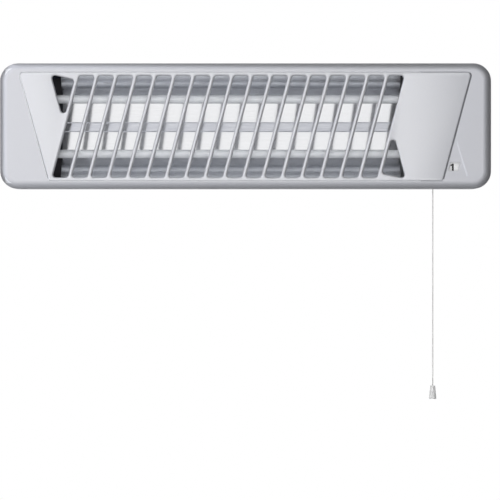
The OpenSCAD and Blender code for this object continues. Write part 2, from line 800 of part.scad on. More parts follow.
module end_cap_upper_left() end_cap(-1, tube_z);
module end_cap_lower_left() end_cap(-1, -tube_z);
module end_cap_upper_right() end_cap(1, tube_z);
module end_cap_lower_right() end_cap(1, -tube_z);
module terminal_pins() {
    color("gold")
        for (side = [-1, 1], z = [-tube_z, tube_z])
            translate([from_cap(side, pin_in), at(tube_depth), z])
                rotate([0, side * 90, 0])
                    cylinder(d = pin_d, h = cap_l - pin_in + pin_out);
}
module tube_holder(side) {
    x = holder_x(side);
    rear = at(plate_d - foot_gap);
    half_h = tube_z + 11;
    front = at(tube_depth - 8);
    color("silver")
        difference() {
            union() {
                side_on(x, holder_t)
                    polygon([[front, -half_h], [rear - 12, -half_h], [rear, -holder_foot_z - 8],
                        [rear, holder_foot_z + 8], [rear - 12, half_h], [front, half_h],
                        [front, tube_z - 11], [front + 12, tube_z - 16], [front + 12, 16 - tube_z],
                        [front, 11 - tube_z]]);
                for (sz = [-1, 1])
                    translate([x, rear - foot_t, sz * holder_foot_z - 6])
                        cube([foot_w, foot_t, 12]);
            }
            for (z = [-tube_z, tube_z]) {
                along_x(x - 1, at(tube_depth), z, holder_t + 2, groove_r + 0.15);
                translate([x - 1, at(tube_depth) - 20, z - groove_r - 0.15])
                    cube([holder_t + 2, 20, 2 * groove_r + 0.3]);
            }
            for (sz = [-1, 1])
                along_y(foot_x(x), sz * holder_foot_z, plate_d - 5, 8, rivet_r + 0.05);
        }
}
module tube_holder_left() tube_holder(-1);
module tube_holder_right() tube_holder(1);

// Strip that joins the two pins at the left
strip_s = cap_l + 5.4;
strip_x = from_cap(-1, strip_s);
strip_t = 0.8;
module link_strip() {
    color("goldenrod")
        difference() {
            side_on(strip_x, strip_t)
                translate([at(tube_depth), 0])
                    polygon(rounded(rectangle(8, 2 * tube_z + 8), 3));
            for (z = [-tube_z, tube_z])
                along_x(strip_x - 1, at(tube_depth), z, strip_t + 2, pin_d / 2 + 0.05);
        }
}

// Terminal block, clamp, grommet and earth screw
block_w = 34;
block_h = 18;
block_t = 15;
way_pitch = 9;
way_r = 2.2;
block_screw_x = way_pitch / 2;
wire_d = plate_d - 6;
module terminal_block() {
    color("ivory")
        difference() {
            face_on(plate_d - block_t, block_t)
                translate(block_at)
                    polygon(rounded(rectangle(block_w, block_h), 1.5));
            for (k = [-1:1]) {
                x = block_at[0] + k * way_pitch;
                translate([x, at(wire_d), block_at[1] - block_h])
                    cylinder(r = way_r, h = 2 * block_h);
                for (sz = [-1, 1])
                    along_y(x, block_at[1] + sz * 5, plate_d - block_t - 1, block_t - 4, 2);
            }
            for (sx = [-1, 1])
                along_y(block_at[0] + sx * block_screw_x, block_at[1], plate_d - block_t - 1, block_t + 2, 1.5);
        }
}
module terminal_screws() {
    color("gold") {
        for (k = [-1:1], sz = [-1, 1])
            along_y(block_at[0] + k * way_pitch, block_at[1] + sz * 5, plate_d - block_t + 1.5, 5, 1.9);
        for (sx = [-1, 1])
            screw_from_front(block_at[0] + sx * block_screw_x, block_at[1], plate_d - block_t, 2.2, 1.4,
                1.25, block_t + 3);
    }
}
cable_r = 3.6;
module cable_grommet() {
    flange_r = 9;
    flange_t = 2.4;
    groove_l = plate_t + 0.2;
    color("dimgray")
        translate([grommet_at[0], at(plate_d - 0.1 - flange_t), grommet_at[1]])
            rotate([-90, 0, 0])
                rotate_extrude()
                    polygon([[cable_r, 0], [flange_r - 1, 0], [flange_r, 1], [flange_r, flange_t],
                        [grommet_groove_r, flange_t], [grommet_groove_r, flange_t + groove_l],
                        [flange_r, flange_t + groove_l], [flange_r, 2 * flange_t + groove_l - 1],
                        [flange_r - 1, 2 * flange_t + groove_l], [cable_r, 2 * flange_t + groove_l]]);
}
clamp_screw_x = 9;
clamp_w = 26;
module cable_clamp() {
    rear = at(plate_d);
    color("whitesmoke")
        translate([clamp_at[0], rear, clamp_at[1] - 5])
            difference() {
                linear_extrude(10)
                    difference() {
                        union() {
                            translate([-clamp_w / 2, -2])
                                square([clamp_w, 2]);
                            translate([0, -cable_r])
                                circle(r = cable_r + 1.8);
                        }
                        translate([0, -cable_r])
                            circle(r = cable_r);
                        translate([-cable_r, -cable_r])
                            square([2 * cable_r, cable_r + 10]);
                        translate([-20, 0])
                            square([40, 10]);
                    }
                for (sx = [-1, 1])
                    translate([sx * clamp_screw_x, 1, 5])
                        rotate([90, 0, 0])
                            cylinder(r = 1.5, h = 4);
            }
}
module clamp_screws() {
    color("dimgray")
        for (sx = [-1, 1])
            screw_from_front(clamp_at[0] + sx * clamp_screw_x, clamp_at[1], plate_d - 2, 2.6, 1.6, 1.25, 5);
}
module earth_screw() {
    color("gold")
        screw_from_front(earth_at[0], earth_at[1], plate_d - 1, 3.6, 2, 1.75, plate_t + 3);
}

// Insulated leads inside the casing
lead_r = 1.1;
lead_gap = 0.3;
pin_end_right = from_cap(1, cap_l + pin_out);
tab_end_d = 34.5;
tab_x = cord_x + 25.5;
tab_z = [axis_z + 18, axis_z + 5, axis_z - 8];
module lead(points, hue) {
    color(hue)
        swept(smooth_path([for (p = points) [p[0], at(p[1]), p[2]]], 4), lead_r, 6);
}
block_low_z = block_at[1] + block_h / 2 + lead_gap;
upper_run_z = casing_h / 2 - 12.5;
module lead_common() lead([[block_at[0] - way_pitch, wire_d, block_low_z],
    [block_at[0] - 9, 51, block_at[1] + 15], [block_at[0] - 16, 49, block_at[1] + 22],
    [block_at[0] - 23, 48, block_at[1] + 11], [block_at[0] - 23, 47, axis_z + 45],
    [tab_x - 14, 47, axis_z + 25], [tab_x - 4, 46, tab_z[0] + 1], [tab_x, 41, tab_z[0]],
    [tab_x, tab_end_d + lead_gap, tab_z[0]]], "saddlebrown");
module lead_upper() lead([[tab_x, tab_end_d + lead_gap, tab_z[1]], [tab_x, 40, tab_z[1]],
    [tab_x - 6, 43, tab_z[1] + 3], [tab_x - 16, 42, tab_z[1] + 15], [pin_end_right + 10, 38, tube_z - 25.5],
    [pin_end_right + 9, 32, tube_z - 7.5], [pin_end_right + 5, tube_depth, tube_z],
    [pin_end_right + lead_gap, tube_depth, tube_z]], "black");
module lead_lower() lead([[tab_x, tab_end_d + lead_gap, tab_z[2]], [tab_x, 39, tab_z[2]],
    [tab_x - 7, 41, tab_z[2]], [pin_end_right + 14, 37, -tube_z - 8.5],
    [pin_end_right + 8, 31, -tube_z - 1.5], [pin_end_right + 4, tube_depth, -tube_z],
    [pin_end_right + lead_gap, tube_depth, -tube_z]], "dimgray");
module lead_neutral() lead(concat(
    [[block_at[0], wire_d, block_low_z], [block_at[0] - 1, 51, block_at[1] + 17],
        [block_at[0] - 12, 51, upper_run_z - 3]],
    [for (k = [0:7]) [pin_end_right - 4 + (strip_x - pin_end_right + 35) * k / 7, 51, upper_run_z]],
    [[strip_x + 9, 50, upper_run_z - 7], [strip_x - 3, 46, tube_z], [strip_x - 6, 38, 10],
        [strip_x - 4, 31, 1], [strip_x - 2, tube_depth, 0], [strip_x - lead_gap, tube_depth, 0]]),
    "steelblue");
module lead_earth() lead([[block_at[0] + way_pitch, wire_d, block_low_z],
    [block_at[0] + 8, 51, block_at[1] + 17], [block_at[0], 52, block_at[1] + 25],
    [earth_at[0] + 12, 54, earth_at[1] + 2], [earth_at[0] + 3.8, 55.4, earth_at[1]]], "yellowgreen");

// Pull switch. The rocker's slot takes the plunger's cross pin and turns by one step over the travel
teeth = 6;
step = 360 / teeth;
travel = 2 * arm_reach * tan(step / 2);
cross_pin_r = 1.25;
cross_pin_z = axis_z + travel / 2;
cover_d = 6.5;
cover_t = 1.8;
floor_d = 24.5;
disc_d = ledge_d + ledge_t + moving_gap - 0.1;
rocker_d = cover_d + cover_t + moving_gap;
rocker_t = 2.4;
wheel_d = rocker_d + rocker_t + moving_gap;
wheel_t = 3.4;
track_t = 2;
plunger_w = 6;
plunger_t = 5;
plunger_top = cross_pin_z + 2.2;
plunger_l = 18;
plunger_low = plunger_top - plunger_l;
cover_screw_in = 3.4;
cover_screws = [for (x = [housing_x[0] + cover_screw_in, housing_x[1] - cover_screw_in],
    z = [housing_z[0] + cover_screw_in, housing_z[1] - cover_screw_in]) [x, z]];
rail_w = 2.2;
key_w = 2.4;
rail_front = cord_depth + plunger_t / 2 + moving_gap;
leaf_x = axis_x + ratchet_r - 0.1 + 0.2;
leaf_t = 0.3;
leaf_tracks = [wheel_d + wheel_t + 0.3, wheel_d + wheel_t + 2.5];
leaf_foot_z = axis_z - 15;
leaf_tip_z = axis_z + 10;
detent_foot = [axis_x - 1.5, axis_z - 15.5];
function box_outline(inset) = [[housing_x[0] + inset, housing_z[0] + inset],
    [housing_x[1] - inset, housing_z[0] + inset], [housing_x[1] - inset, housing_z[1] - inset],
    [housing_x[0] + inset, housing_z[1] - inset]];
module switch_housing() {
    rim_d = cover_d + cover_t;
    depth = floor_d + switch_wall - rim_d;
    color("whitesmoke")
        difference() {
            union() {
                difference() {
                    face_on(rim_d, depth)
                        polygon(rounded(box_outline(0), 2.5));
                    face_on(rim_d - 1, floor_d - rim_d + 1)
                        polygon(rounded(box_outline(switch_wall), 1));
                }
                for (p = cover_screws)
                    along_y(p[0], p[1], rim_d, floor_d - rim_d + eps, 2.6);
                // Rails that guide the plunger's key
                for (side = [-1, 1])
                    face_on(rail_front, floor_d - rail_front + eps)
                        translate([cord_x + side * (key_w / 2 + moving_gap / 2 + rail_w / 2) - rail_w / 2,
                            housing_z[0] + 1])
                            square([rail_w, axis_z + 19 - housing_z[0] - 1]);
                along_y(axis_x, axis_z, floor_d - 3, 3 + eps, 4.4);
                // Posts that hold the contact leaves and the detent spring
                face_on(leaf_tracks[0], floor_d - leaf_tracks[0] + eps)
                    translate([leaf_x + leaf_t, leaf_foot_z - 3])
                        square([3, 6]);
                face_on(wheel_d, floor_d - wheel_d + eps)
                    translate([detent_foot[0] - 2, detent_foot[1] - 5])
                        square([4, 4.9]);
                // Ears that take the mounting screws
                for (p = switch_ears)
                    face_on(ear_d, 2.4)
                        translate(p) {
                            circle(r = 4.6);
                            translate([housing_x[1] - p[0] - 1, -4.6])
                                square([p[0] - housing_x[1] + 1, 9.2]);
                        }
            }
            for (p = switch_ears)
                along_y(p[0], p[1], ear_d - 1, 5, screw_r + 0.2);
            for (p = cover_screws)
                along_y(p[0], p[1], rim_d - 1, 9, 1.05);
            along_y(axis_x, axis_z, floor_d - 4, 4, shaft_d / 2 + running_play);
            translate([cord_x, at(cord_depth), housing_z[0] - 1])
                cylinder(r = cord_d / 2 + 0.6, h = switch_wall + 2);
            for (z = tab_z)
                translate([tab_x - 0.45, at(floor_d) - 1, z - 2])
                    cube([0.9, switch_wall + 2, 4]);
        }
}
module switch_cover() {
    color("gainsboro")
        difference() {
            face_on(cover_d, cover_t)
                polygon(rounded(box_outline(0), 2.5));
            for (p = cover_screws)
                along_y(p[0], p[1], cover_d - 1, cover_t + 2, 1.2);
            along_y(axis_x, axis_z, cover_d - 1, cover_t + 2, shaft_d / 2 + running_play);
        }
}
module switch_cover_screws() {
    color("dimgray")
        for (p = cover_screws)
            screw_from_front(p[0], p[1], cover_d, 2, 1.2, 1, 7);
}
module switch_mount_screws() {
    color("dimgray")
        for (p = switch_ears)
            screw_from_rear(p[0], p[1], ear_d + 2.4, 3.2, 2, screw_r, 7);
}
module switch_terminals() {
    color("goldenrod")
        for (z = tab_z)
            translate([tab_x - 0.4, at(floor_d - 2), z])
                union() {
                    translate([0, 0, -1.9])
                        cube([0.8, 2 + switch_wall + eps, 3.8]);
                    translate([0, 2 + switch_wall, -3.1])
                        cube([0.8, tab_end_d - floor_d - switch_wall, 6.2]);
                }
}
rivet_h = 0.8;
contact_w = 1.8;
bar_t = 0.8;
module contact_leaves() {
    color("goldenrod")
        for (d = leaf_tracks)
            union() {
                translate([leaf_x, at(d), leaf_foot_z - 3])
                    cube([leaf_t, contact_w, leaf_tip_z - leaf_foot_z + 3]);
                along_x(leaf_x + leaf_t - eps, at(d + contact_w / 2), leaf_tip_z - 1.5, rivet_h + eps, 0.85);
            }
}
module fixed_contacts() {
    x = leaf_x + leaf_t + rivet_h + 0.1;
    color("goldenrod")
        for (k = [0, 1]) {
            d = leaf_tracks[k];
            foot_z = (k == 0) ? leaf_tip_z + 4 : leaf_tip_z - 3;
            union() {
                translate([x + rivet_h, at(d), leaf_tip_z - 3])
                    cube([bar_t, contact_w, 9 - 4 * k]);
                translate([x + rivet_h, at(d), foot_z])
                    cube([bar_t, floor_d - d, 2]);
                along_x(x, at(d + contact_w / 2), leaf_tip_z - 1.5, rivet_h + eps, 0.85);
            }
        }
}
// A bent strip of spring steel, drawn from the front
module leaf_strip(points, t, d, depth) {
    face_on(d, depth)
        polygon(concat(points, reversed(shifted(points, t))));
}
strip_leaf_t = 0.35;
function polar(r, a) = [axis_x + r * cos(a), axis_z + r * sin(a)];
tooth_face = 52;
module detent_spring() {
    tip = polar(ratchet_r - tooth_h + 0.5, tooth_face + 4 * step - 3);
    color("silver")
        leaf_strip([[detent_foot[0] - 3, detent_foot[1]], [detent_foot[0] + 1.5, detent_foot[1]],
            [detent_foot[0] + 3.2, detent_foot[1] + 3], tip], -strip_leaf_t, wheel_d + 0.4, wheel_t - 0.8);
}
module return_spring() {
    steps = 8;
    z0 = housing_z[0] + switch_wall;
    top = plunger_low;
    rise = (top - z0 - 2 * spring_wire) / spring_turns;
    coil = [for (k = [0:spring_turns * steps])
        [spring_r * cos(360 * k / steps), spring_r * sin(360 * k / steps), spring_wire + rise * k / steps]];
    path = concat([[spring_r, 0, 0]], coil, [[spring_r, 0, top - z0]]);
    least_gap = min([for (i = [0:len(coil) - 1], j = [0:len(coil) - 1])
        if (j > i + steps / 2) norm(coil[i] - coil[j])]) - spring_wire;
    echo(return_spring_least_gap = least_gap);
    color("silver")
        translate([cord_x, at(cord_depth), z0])
            swept(path, spring_wire / 2, 6, [1, 0.1, 0]);
}
module cord_bush() {
    throat = cord_d / 2 + 0.5;
    mouth = 3.1;
    color("whitesmoke")
        translate([cord_x, at(cord_depth), underside])
            difference() {
                union() {
                    cylinder(r = bush_r, h = wall + bush_flange_t);
                    translate([0, 0, wall])
                        cylinder(r = bush_flange_r, h = bush_flange_t);
                }
                translate([0, 0, -eps])
                    cylinder(r1 = mouth, r2 = throat, h = 2.4);
                cylinder(r = throat, h = wall + bush_flange_t + 1);
            }
}
swing_z = underside + 2.4;
module plunger() {
    color("ivory")
        union() {
            translate([cord_x - plunger_w / 2, at(cord_depth) - plunger_t / 2, plunger_low])
                cube([plunger_w, plunger_t, plunger_l]);
            translate([cord_x - key_w / 2, at(cord_depth) + plunger_t / 2 - eps, plunger_low])
                cube([key_w, floor_d - cord_depth - plunger_t / 2 - moving_gap, plunger_l]);
            along_y(cord_x, cross_pin_z, rocker_d - 0.1, cord_depth - rocker_d, cross_pin_r);
        }
}
module plunger_cord() {
    color("white")
        translate([cord_x, at(cord_depth), swing_z + 0.4])
            cylinder(d = cord_d, h = plunger_low - swing_z - 0.4);
}
slot_play = 0.45;
pawl_post = polar(12.5, 20);
module rocker() {
    rest = 180 - step / 2;
    pin_far = norm([arm_reach, travel / 2]);
    slot_in = arm_reach - cross_pin_r - 0.5;
    color("khaki")
        difference() {
            union() {
                along_y(axis_x, axis_z, rocker_d, rocker_t, 5);
                face_on(rocker_d, rocker_t)
                    translate([axis_x, axis_z]) {
                        rotate(rest)
                            translate([0, -3.9])
                                square([pin_far + 3, 7.8]);
                        rotate(20)
                            translate([0, -2.5])
                                square([12.5, 5]);
                    }
                along_y(pawl_post[0], pawl_post[1], rocker_d, rocker_t + moving_gap + wheel_t, 2.5);
            }
            face_on(rocker_d - 1, rocker_t + 2)
                translate([axis_x, axis_z])
                    rotate(rest)
                        translate([slot_in, -cross_pin_r - slot_play])
                            square([pin_far + 10 - slot_in, 2 * (cross_pin_r + slot_play)]);
            along_y(axis_x, axis_z, rocker_d - 1, rocker_t + 2, shaft_d / 2 + running_play);
        }
}
module pawl_spring() {
    tip = polar(ratchet_r - tooth_h + 0.5, tooth_face - 3);
    start = pawl_post + [-2.4, 1.1];
    color("silver")
        leaf_strip([start, [start[0] - 2.6, start[1] + 0.4], tip], strip_leaf_t, wheel_d + 0.4, wheel_t - 0.8);
}
// Six saw teeth: each drives on its steep face and falls away behind it
module ratchet_outline() {
    steps = 6;
    polygon([for (k = [0:teeth - 1], i = [0:steps])
        let (
            a = tooth_face + step * k + step * i / steps,
            r = ratchet_r - tooth_h * i / steps
        )
        r * [cos(a - ((i == steps) ? 0.4 : 0)), sin(a - ((i == steps) ? 0.4 : 0))]]);
}
module cam_track(lobes, d) {
    base_r = ratchet_r - 1.5;
    lobe_r = ratchet_r - 0.1;
    half = 24;
    along_y(axis_x, axis_z, d, track_t, base_r);
    face_on(d, track_t)
        translate([axis_x, axis_z])
            for (a = lobes)
                intersection() {
                    circle(r = lobe_r);
                    polygon([[0, 0], 2 * lobe_r * [cos(a - half), sin(a - half)],
                        2 * lobe_r * [cos(a + half), sin(a + half)]]);
                }
}
module ratchet_wheel() {
    bore = shaft_d / 2 + 0.05;
    color("orangered")
        difference() {
            union() {
                face_on(wheel_d, wheel_t)
                    translate([axis_x, axis_z])
                        ratchet_outline();
                cam_track([0, -step, 180, 180 - step], wheel_d + wheel_t - eps);
                cam_track([-step, 180 - step], wheel_d + wheel_t + track_t - 2 * eps);
            }
            along_y(axis_x, axis_z, wheel_d - 1, wheel_t + 2 * track_t + 2, bore);
        }
}
module indicator_disc() {
    color("white")
        difference() {
            along_y(axis_x, axis_z, disc_d, disc_t, disc_r);
            along_y(axis_x, axis_z, disc_d - 1, disc_t + 2, shaft_d / 2 + 0.05);
        }
}
module wheel_shaft() {
    color("silver")
        along_y(axis_x, axis_z, disc_d - 0.1, floor_d - disc_d - 0.1, shaft_d / 2);
}

// Pull cord below the bush, and its knob
knob_top = underside - cord_l;
knob_h = 14.3;
knob_roof = 6;
cord_points = [for (z = [swing_z, -120, -180, -240, knob_top - 7.3]) [cord_x, at(cord_depth), z]];
module pull_cord() {
    color("white")
        swept(smooth_path(cord_points, 16), cord_d / 2, 8, [1, 0, 0]);
}
module cord_knob() {
    top_r = 2.6;
    low_r = 3.9;
    shell = 1.1;
    color("whitesmoke")
        translate([cord_x, at(cord_depth), knob_top - knob_h])
            rotate_extrude()
                polygon([[low_r - shell, 0], [low_r - 0.3, 0], [low_r, 0.5], [top_r, knob_h - 0.8],
                    [top_r - 0.8, knob_h], [cord_d / 2 + 0.1, knob_h], [cord_d / 2 + 0.1, knob_h - knob_roof],
                    [top_r - 0.4, knob_h - knob_roof]]);
}

wall_bracket();
casing();
front_grille();
grille_screws();
indicator_window();
back_plate();
back_plate_screws();
tilt_lug_left();
tilt_lug_right();
lug_screws();
tilt_bolts();
tilt_nuts();
friction_washers();
reflector();
reflector_saddle_left();
reflector_saddle_right();
quartz_tube_upper();
quartz_tube_lower();
heating_coil_upper();
heating_coil_lower();
end_cap_upper_left();
end_cap_lower_left();
end_cap_upper_right();
end_cap_lower_right();
terminal_pins();
tube_holder_left();
tube_holder_right();
inner_rivets();
link_strip();
terminal_block();
terminal_screws();
cable_grommet();
cable_clamp();
clamp_screws();
earth_screw();
lead_common();
lead_upper();
lead_lower();
lead_neutral();
lead_earth();
switch_housing();
switch_cover();
switch_cover_screws();
switch_mount_screws();
switch_terminals();
fixed_contacts();
contact_leaves();
detent_spring();
return_spring();
cord_bush();
plunger();
plunger_cord();
rocker();
pawl_spring();
ratchet_wheel();
indicator_disc();
wheel_shaft();
pull_cord();
cord_knob();
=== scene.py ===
import math

import bmesh
import bpy
from mathutils import Matrix, Vector


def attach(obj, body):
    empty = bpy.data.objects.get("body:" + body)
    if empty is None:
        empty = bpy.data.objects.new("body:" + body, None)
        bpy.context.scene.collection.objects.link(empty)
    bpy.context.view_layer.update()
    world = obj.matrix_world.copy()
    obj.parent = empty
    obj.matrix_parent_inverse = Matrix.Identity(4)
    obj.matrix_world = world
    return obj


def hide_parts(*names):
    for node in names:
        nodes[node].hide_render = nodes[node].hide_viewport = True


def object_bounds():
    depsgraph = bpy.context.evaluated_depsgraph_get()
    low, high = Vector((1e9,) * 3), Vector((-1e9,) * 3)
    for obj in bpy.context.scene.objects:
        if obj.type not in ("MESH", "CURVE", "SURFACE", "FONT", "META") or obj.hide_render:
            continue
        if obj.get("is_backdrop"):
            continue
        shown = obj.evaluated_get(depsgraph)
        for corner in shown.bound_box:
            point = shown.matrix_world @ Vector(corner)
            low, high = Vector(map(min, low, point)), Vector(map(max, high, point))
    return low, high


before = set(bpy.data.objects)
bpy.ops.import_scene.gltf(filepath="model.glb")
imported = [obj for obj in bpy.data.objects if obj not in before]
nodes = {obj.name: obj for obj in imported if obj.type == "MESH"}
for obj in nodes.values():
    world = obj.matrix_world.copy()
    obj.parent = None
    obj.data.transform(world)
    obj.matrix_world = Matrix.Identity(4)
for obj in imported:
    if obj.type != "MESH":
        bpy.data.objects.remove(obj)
scene = bpy.context.scene
scene.view_settings.view_transform = "Standard"
cad_box = [list(corner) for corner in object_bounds()]

# Camera. A long lens nearly four metres in front of the heater, in its middle and level with its lower edge.
# It looks at the middle of the photographed field, 537 mm wide at the front panel.
front_y = -0.1
view_centre = Vector((0.0048, front_y, -0.13322))
camera_place = Vector((0.014, -3.8, -0.108))
field_width = 0.5366
camera_data = bpy.data.cameras.new("camera")
camera_data.sensor_width = 36
camera_data.lens = camera_data.sensor_width * (view_centre - camera_place).length / field_width
camera_data.clip_start = 0.05
camera_data.clip_end = 60
camera = bpy.data.objects.new("camera", camera_data)
camera.location = camera_place
camera.rotation_mode = "QUATERNION"
camera.rotation_quaternion = (view_centre - camera_place).to_track_quat("-Z", "Y")
scene.collection.objects.link(camera)
scene.camera = camera


# Pull cord. A thin braid of white polyester thread, 1.2 mm thick. It leaves the bush under the casing,
# hangs straight down and ends in a knot inside its knob.
def grain_group():
    """Fine noise over a finish. It varies the colour and the roughness, and gives a height."""
    group = bpy.data.node_groups.new("grain", "ShaderNodeTree")
    for name, kind, value in (
        ("Color", "NodeSocketColor", (0.8, 0.8, 0.8, 1)),
        ("Shade", "NodeSocketFloat", 0.05),
        ("Roughness", "NodeSocketFloat", 0.5),
        ("Spread", "NodeSocketFloat", 0.05),
        ("Scale", "NodeSocketFloat", 1000),
        ("Stretch", "NodeSocketVector", (1, 1, 1)),
    ):
        socket = group.interface.new_socket(name, in_out="INPUT", socket_type=kind)
        socket.default_value = value
    for name, kind in (
        ("Color", "NodeSocketColor"),
        ("Roughness", "NodeSocketFloat"),
        ("Height", "NodeSocketFloat"),
    ):
        group.interface.new_socket(name, in_out="OUTPUT", socket_type=kind)
    new, link = group.nodes.new, group.links.new
    given = new("NodeGroupInput")
    result = new("NodeGroupOutput")
    place = new("ShaderNodeTexCoord")
    stretch = new("ShaderNodeMapping")
    noise = new("ShaderNodeTexNoise")
    noise.inputs["Detail"].default_value = 3
    centred = new("ShaderNodeMapRange")
    centred.inputs["From Min"].default_value = 0.25
    centred.inputs["From Max"].default_value = 0.75
    centred.inputs["To Min"].default_value = -1
    centred.clamp = False
    link(place.outputs["Object"], stretch.inputs["Vector"])
    link(given.outputs["Stretch"], stretch.inputs["Scale"])
    link(stretch.outputs["Vector"], noise.inputs["Vector"])
    link(given.outputs["Scale"], noise.inputs["Scale"])
    link(noise.outputs["Fac"], centred.inputs["Value"])
    shade = new("ShaderNodeMath")
    shade.operation = "MULTIPLY_ADD"
    shade.inputs[2].default_value = 1
    link(centred.outputs["Result"], shade.inputs[0])
    link(given.outputs["Shade"], shade.inputs[1])
    color = new("ShaderNodeVectorMath")
    color.operation = "SCALE"
    link(given.outputs["Color"], color.inputs[0])
    link(shade.outputs[0], color.inputs["Scale"])
    rough = new("ShaderNodeMath")
    rough.operation = "MULTIPLY_ADD"
    link(centred.outputs["Result"], rough.inputs[0])
    link(given.outputs["Spread"], rough.inputs[1])
    link(given.outputs["Roughness"], rough.inputs[2])
    link(color.outputs[0], result.inputs["Color"])
    link(rough.outputs[0], result.inputs["Roughness"])
    link(noise.outputs["Fac"], result.inputs["Height"])
    return group


grain = grain_group()


def finish(name, color, metallic, roughness, size_mm, shade, spread, bump_mm, stretch=(1, 1, 1), **sockets):
    """A material whose colour, roughness and surface vary with the grain, at that size in millimetres."""
    material = bpy.data.materials.new(name)
    material.use_nodes = True
    material.diffuse_color = (*color, 1)
    tree = material.node_tree
    shader = tree.nodes["Principled BSDF"]
    shader.inputs["Metallic"].default_value = metallic
    for socket, value in sockets.items():
        shader.inputs[socket.replace("_", " ")].default_value = value
    texture = tree.nodes.new("ShaderNodeGroup")
    texture.name = "grain"
    texture.node_tree = grain
    for socket, value in (
        ("Color", (*color, 1)),
        ("Shade", shade),
        ("Roughness", roughness),
        ("Spread", spread),
        ("Scale", 1000 / size_mm),
        ("Stretch", stretch),
    ):
        texture.inputs[socket].default_value = value
    bump = tree.nodes.new("ShaderNodeBump")
    bump.name = "grain_bump"
    bump.inputs["Strength"].default_value = 1
    bump.inputs["Distance"].default_value = bump_mm / 1000
    tree.links.new(texture.outputs["Color"], shader.inputs["Base Color"])
    tree.links.new(texture.outputs["Roughness"], shader.inputs["Roughness"])
    tree.links.new(texture.outputs["Height"], bump.inputs["Height"])
    tree.links.new(bump.outputs["Normal"], shader.inputs["Normal"])
    return material


def dress(material, *names):
    """Gives CAD nodes that material."""
    for name in names:
        mesh = nodes[name].data
        mesh.materials.clear()
        mesh.materials.append(material)


def add_piece(name, bm, material, body):
    """Makes the bmesh an object that rides on the body."""
    mesh = bpy.data.meshes.new(name)
    bm.to_mesh(mesh)
    bm.free()
    mesh.materials.append(material)
    piece = bpy.data.objects.new(name, mesh)
    scene.collection.objects.link(piece)
    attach(piece, body)
    return piece


cord_x = 0.2018
cord_y = -0.082
cord_exit_z = -0.0651
cord_end_z = -0.2868
cord_diameter = 0.0012
cord_steps = 24
strand_turn = 38
strand_scale = 620
strand_depth = 0.00012
braid = finish(
    "white_braid", (0.72, 0.72, 0.71), 0, 0.75, 0.35, 0.12, 0.05, 0.05, (1, 1, 0.45), Sheen_Weight=0.3
)
tree = braid.node_tree
for turn in (-strand_turn, strand_turn):
    place = tree.nodes.new("ShaderNodeTexCoord")
    tilt = tree.nodes.new("ShaderNodeMapping")
    tilt.inputs["Rotation"].default_value = (0, math.radians(turn), 0)
    strand = tree.nodes.new("ShaderNodeTexWave")
    strand.bands_direction = "Z"
    strand.inputs["Scale"].default_value = strand_scale
    strand.inputs["Distortion"].default_value = 0.4
    groove = tree.nodes.new("ShaderNodeBump")
    groove.inputs["Strength"].default_value = 0.6
    groove.inputs["Distance"].default_value = strand_depth
    tree.links.new(place.outputs["Object"], tilt.inputs["Vector"])
    tree.links.new(tilt.outputs["Vector"], strand.inputs["Vector"])
    tree.links.new(strand.outputs["Fac"], groove.inputs["Height"])
    normal = tree.nodes["Principled BSDF"].inputs["Normal"]
    tree.links.new(normal.links[0].from_socket, groove.inputs["Normal"])
    tree.links.new(groove.outputs["Normal"], normal)
cord_curve = bpy.data.curves.new("braided_cord", "CURVE")
cord_curve.dimensions = "3D"
cord_curve.bevel_depth = cord_diameter / 2
cord_curve.bevel_resolution = 4
cord_curve.use_fill_caps = True
line = cord_curve.splines.new("POLY")
line.points.add(cord_steps)
for k, point in enumerate(line.points):
    point.co = (cord_x, cord_y, cord_exit_z + (cord_end_z - cord_exit_z) * k / cord_steps, 1)
cord_curve.materials.append(braid)
braided_cord = bpy.data.objects.new("braided_cord", cord_curve)
scene.collection.objects.link(braided_cord)
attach(braided_cord, "hanging_cord")
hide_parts("pull_cord")
dress(braid, "plunger_cord")

# Cord knob. A hollow tapered grip moulded in light grey plastic. The cord comes in through the hole in its
# roof and is knotted underneath.
knob_height = 0.0143
knob_top_z = -0.2795
knob_low_r = 0.0039
knob_top_r = 0.0026
knob_wall = 0.0011
knob_rim = 0.0011
knob_roof = 0.006
knob_hole_r = 0.0007
knob_rounding = 0.0004
knot_r = 0.0016
knot_squash = 0.85
knot_drop = 0.0007


def smooth_faces(bm):
    """Shades every face smooth."""
    for face in bm.faces:
        face.smooth = True


knob_profile = [
    (knob_low_r - knob_wall, 0),
    (knob_low_r, 0),
    (knob_low_r, knob_rim),
    (knob_top_r, knob_height),
    (knob_hole_r, knob_height),
    (knob_hole_r, knob_height - knob_roof),
    (knob_top_r - knob_rounding, knob_height - knob_roof),
    (knob_low_r - knob_wall, knob_rounding),
]
bm = bmesh.new()
bmesh.ops.create_circle(bm, segments=len(knob_profile), radius=1)
for vert, (radius, height) in zip(bm.verts, knob_profile):
    vert.co = (radius, 0, height)
bmesh.ops.bevel(
    bm,
    geom=[v for v in bm.verts if v.co.x > knob_hole_r + 1e-5],
    offset=knob_rounding,
    segments=4,
    profile=0.5,
    affect="VERTICES",
    material=-1,
    clamp_overlap=True,
)
bmesh.ops.spin(
    bm,
    geom=bm.verts[:] + bm.edges[:],
    cent=(0, 0, 0),
    axis=(0, 0, 1),
    angle=2 * math.pi,
    steps=64,
    use_merge=True,
)
bmesh.ops.remove_doubles(bm, verts=bm.verts, dist=1e-7)
bmesh.ops.recalc_face_normals(bm, faces=bm.faces)
bmesh.ops.translate(bm, verts=bm.verts, vec=(cord_x, cord_y, knob_top_z - knob_height))
smooth_faces(bm)
knob_plastic = finish("knob_plastic", (0.73, 0.73, 0.73), 0, 0.38, 0.8, 0.03, 0.05, 0.01)
knob = add_piece("moulded_knob", bm, knob_plastic, "hanging_cord")
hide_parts("cord_knob")
bm = bmesh.new()
bmesh.ops.create_icosphere(bm, subdivisions=3, radius=knot_r)
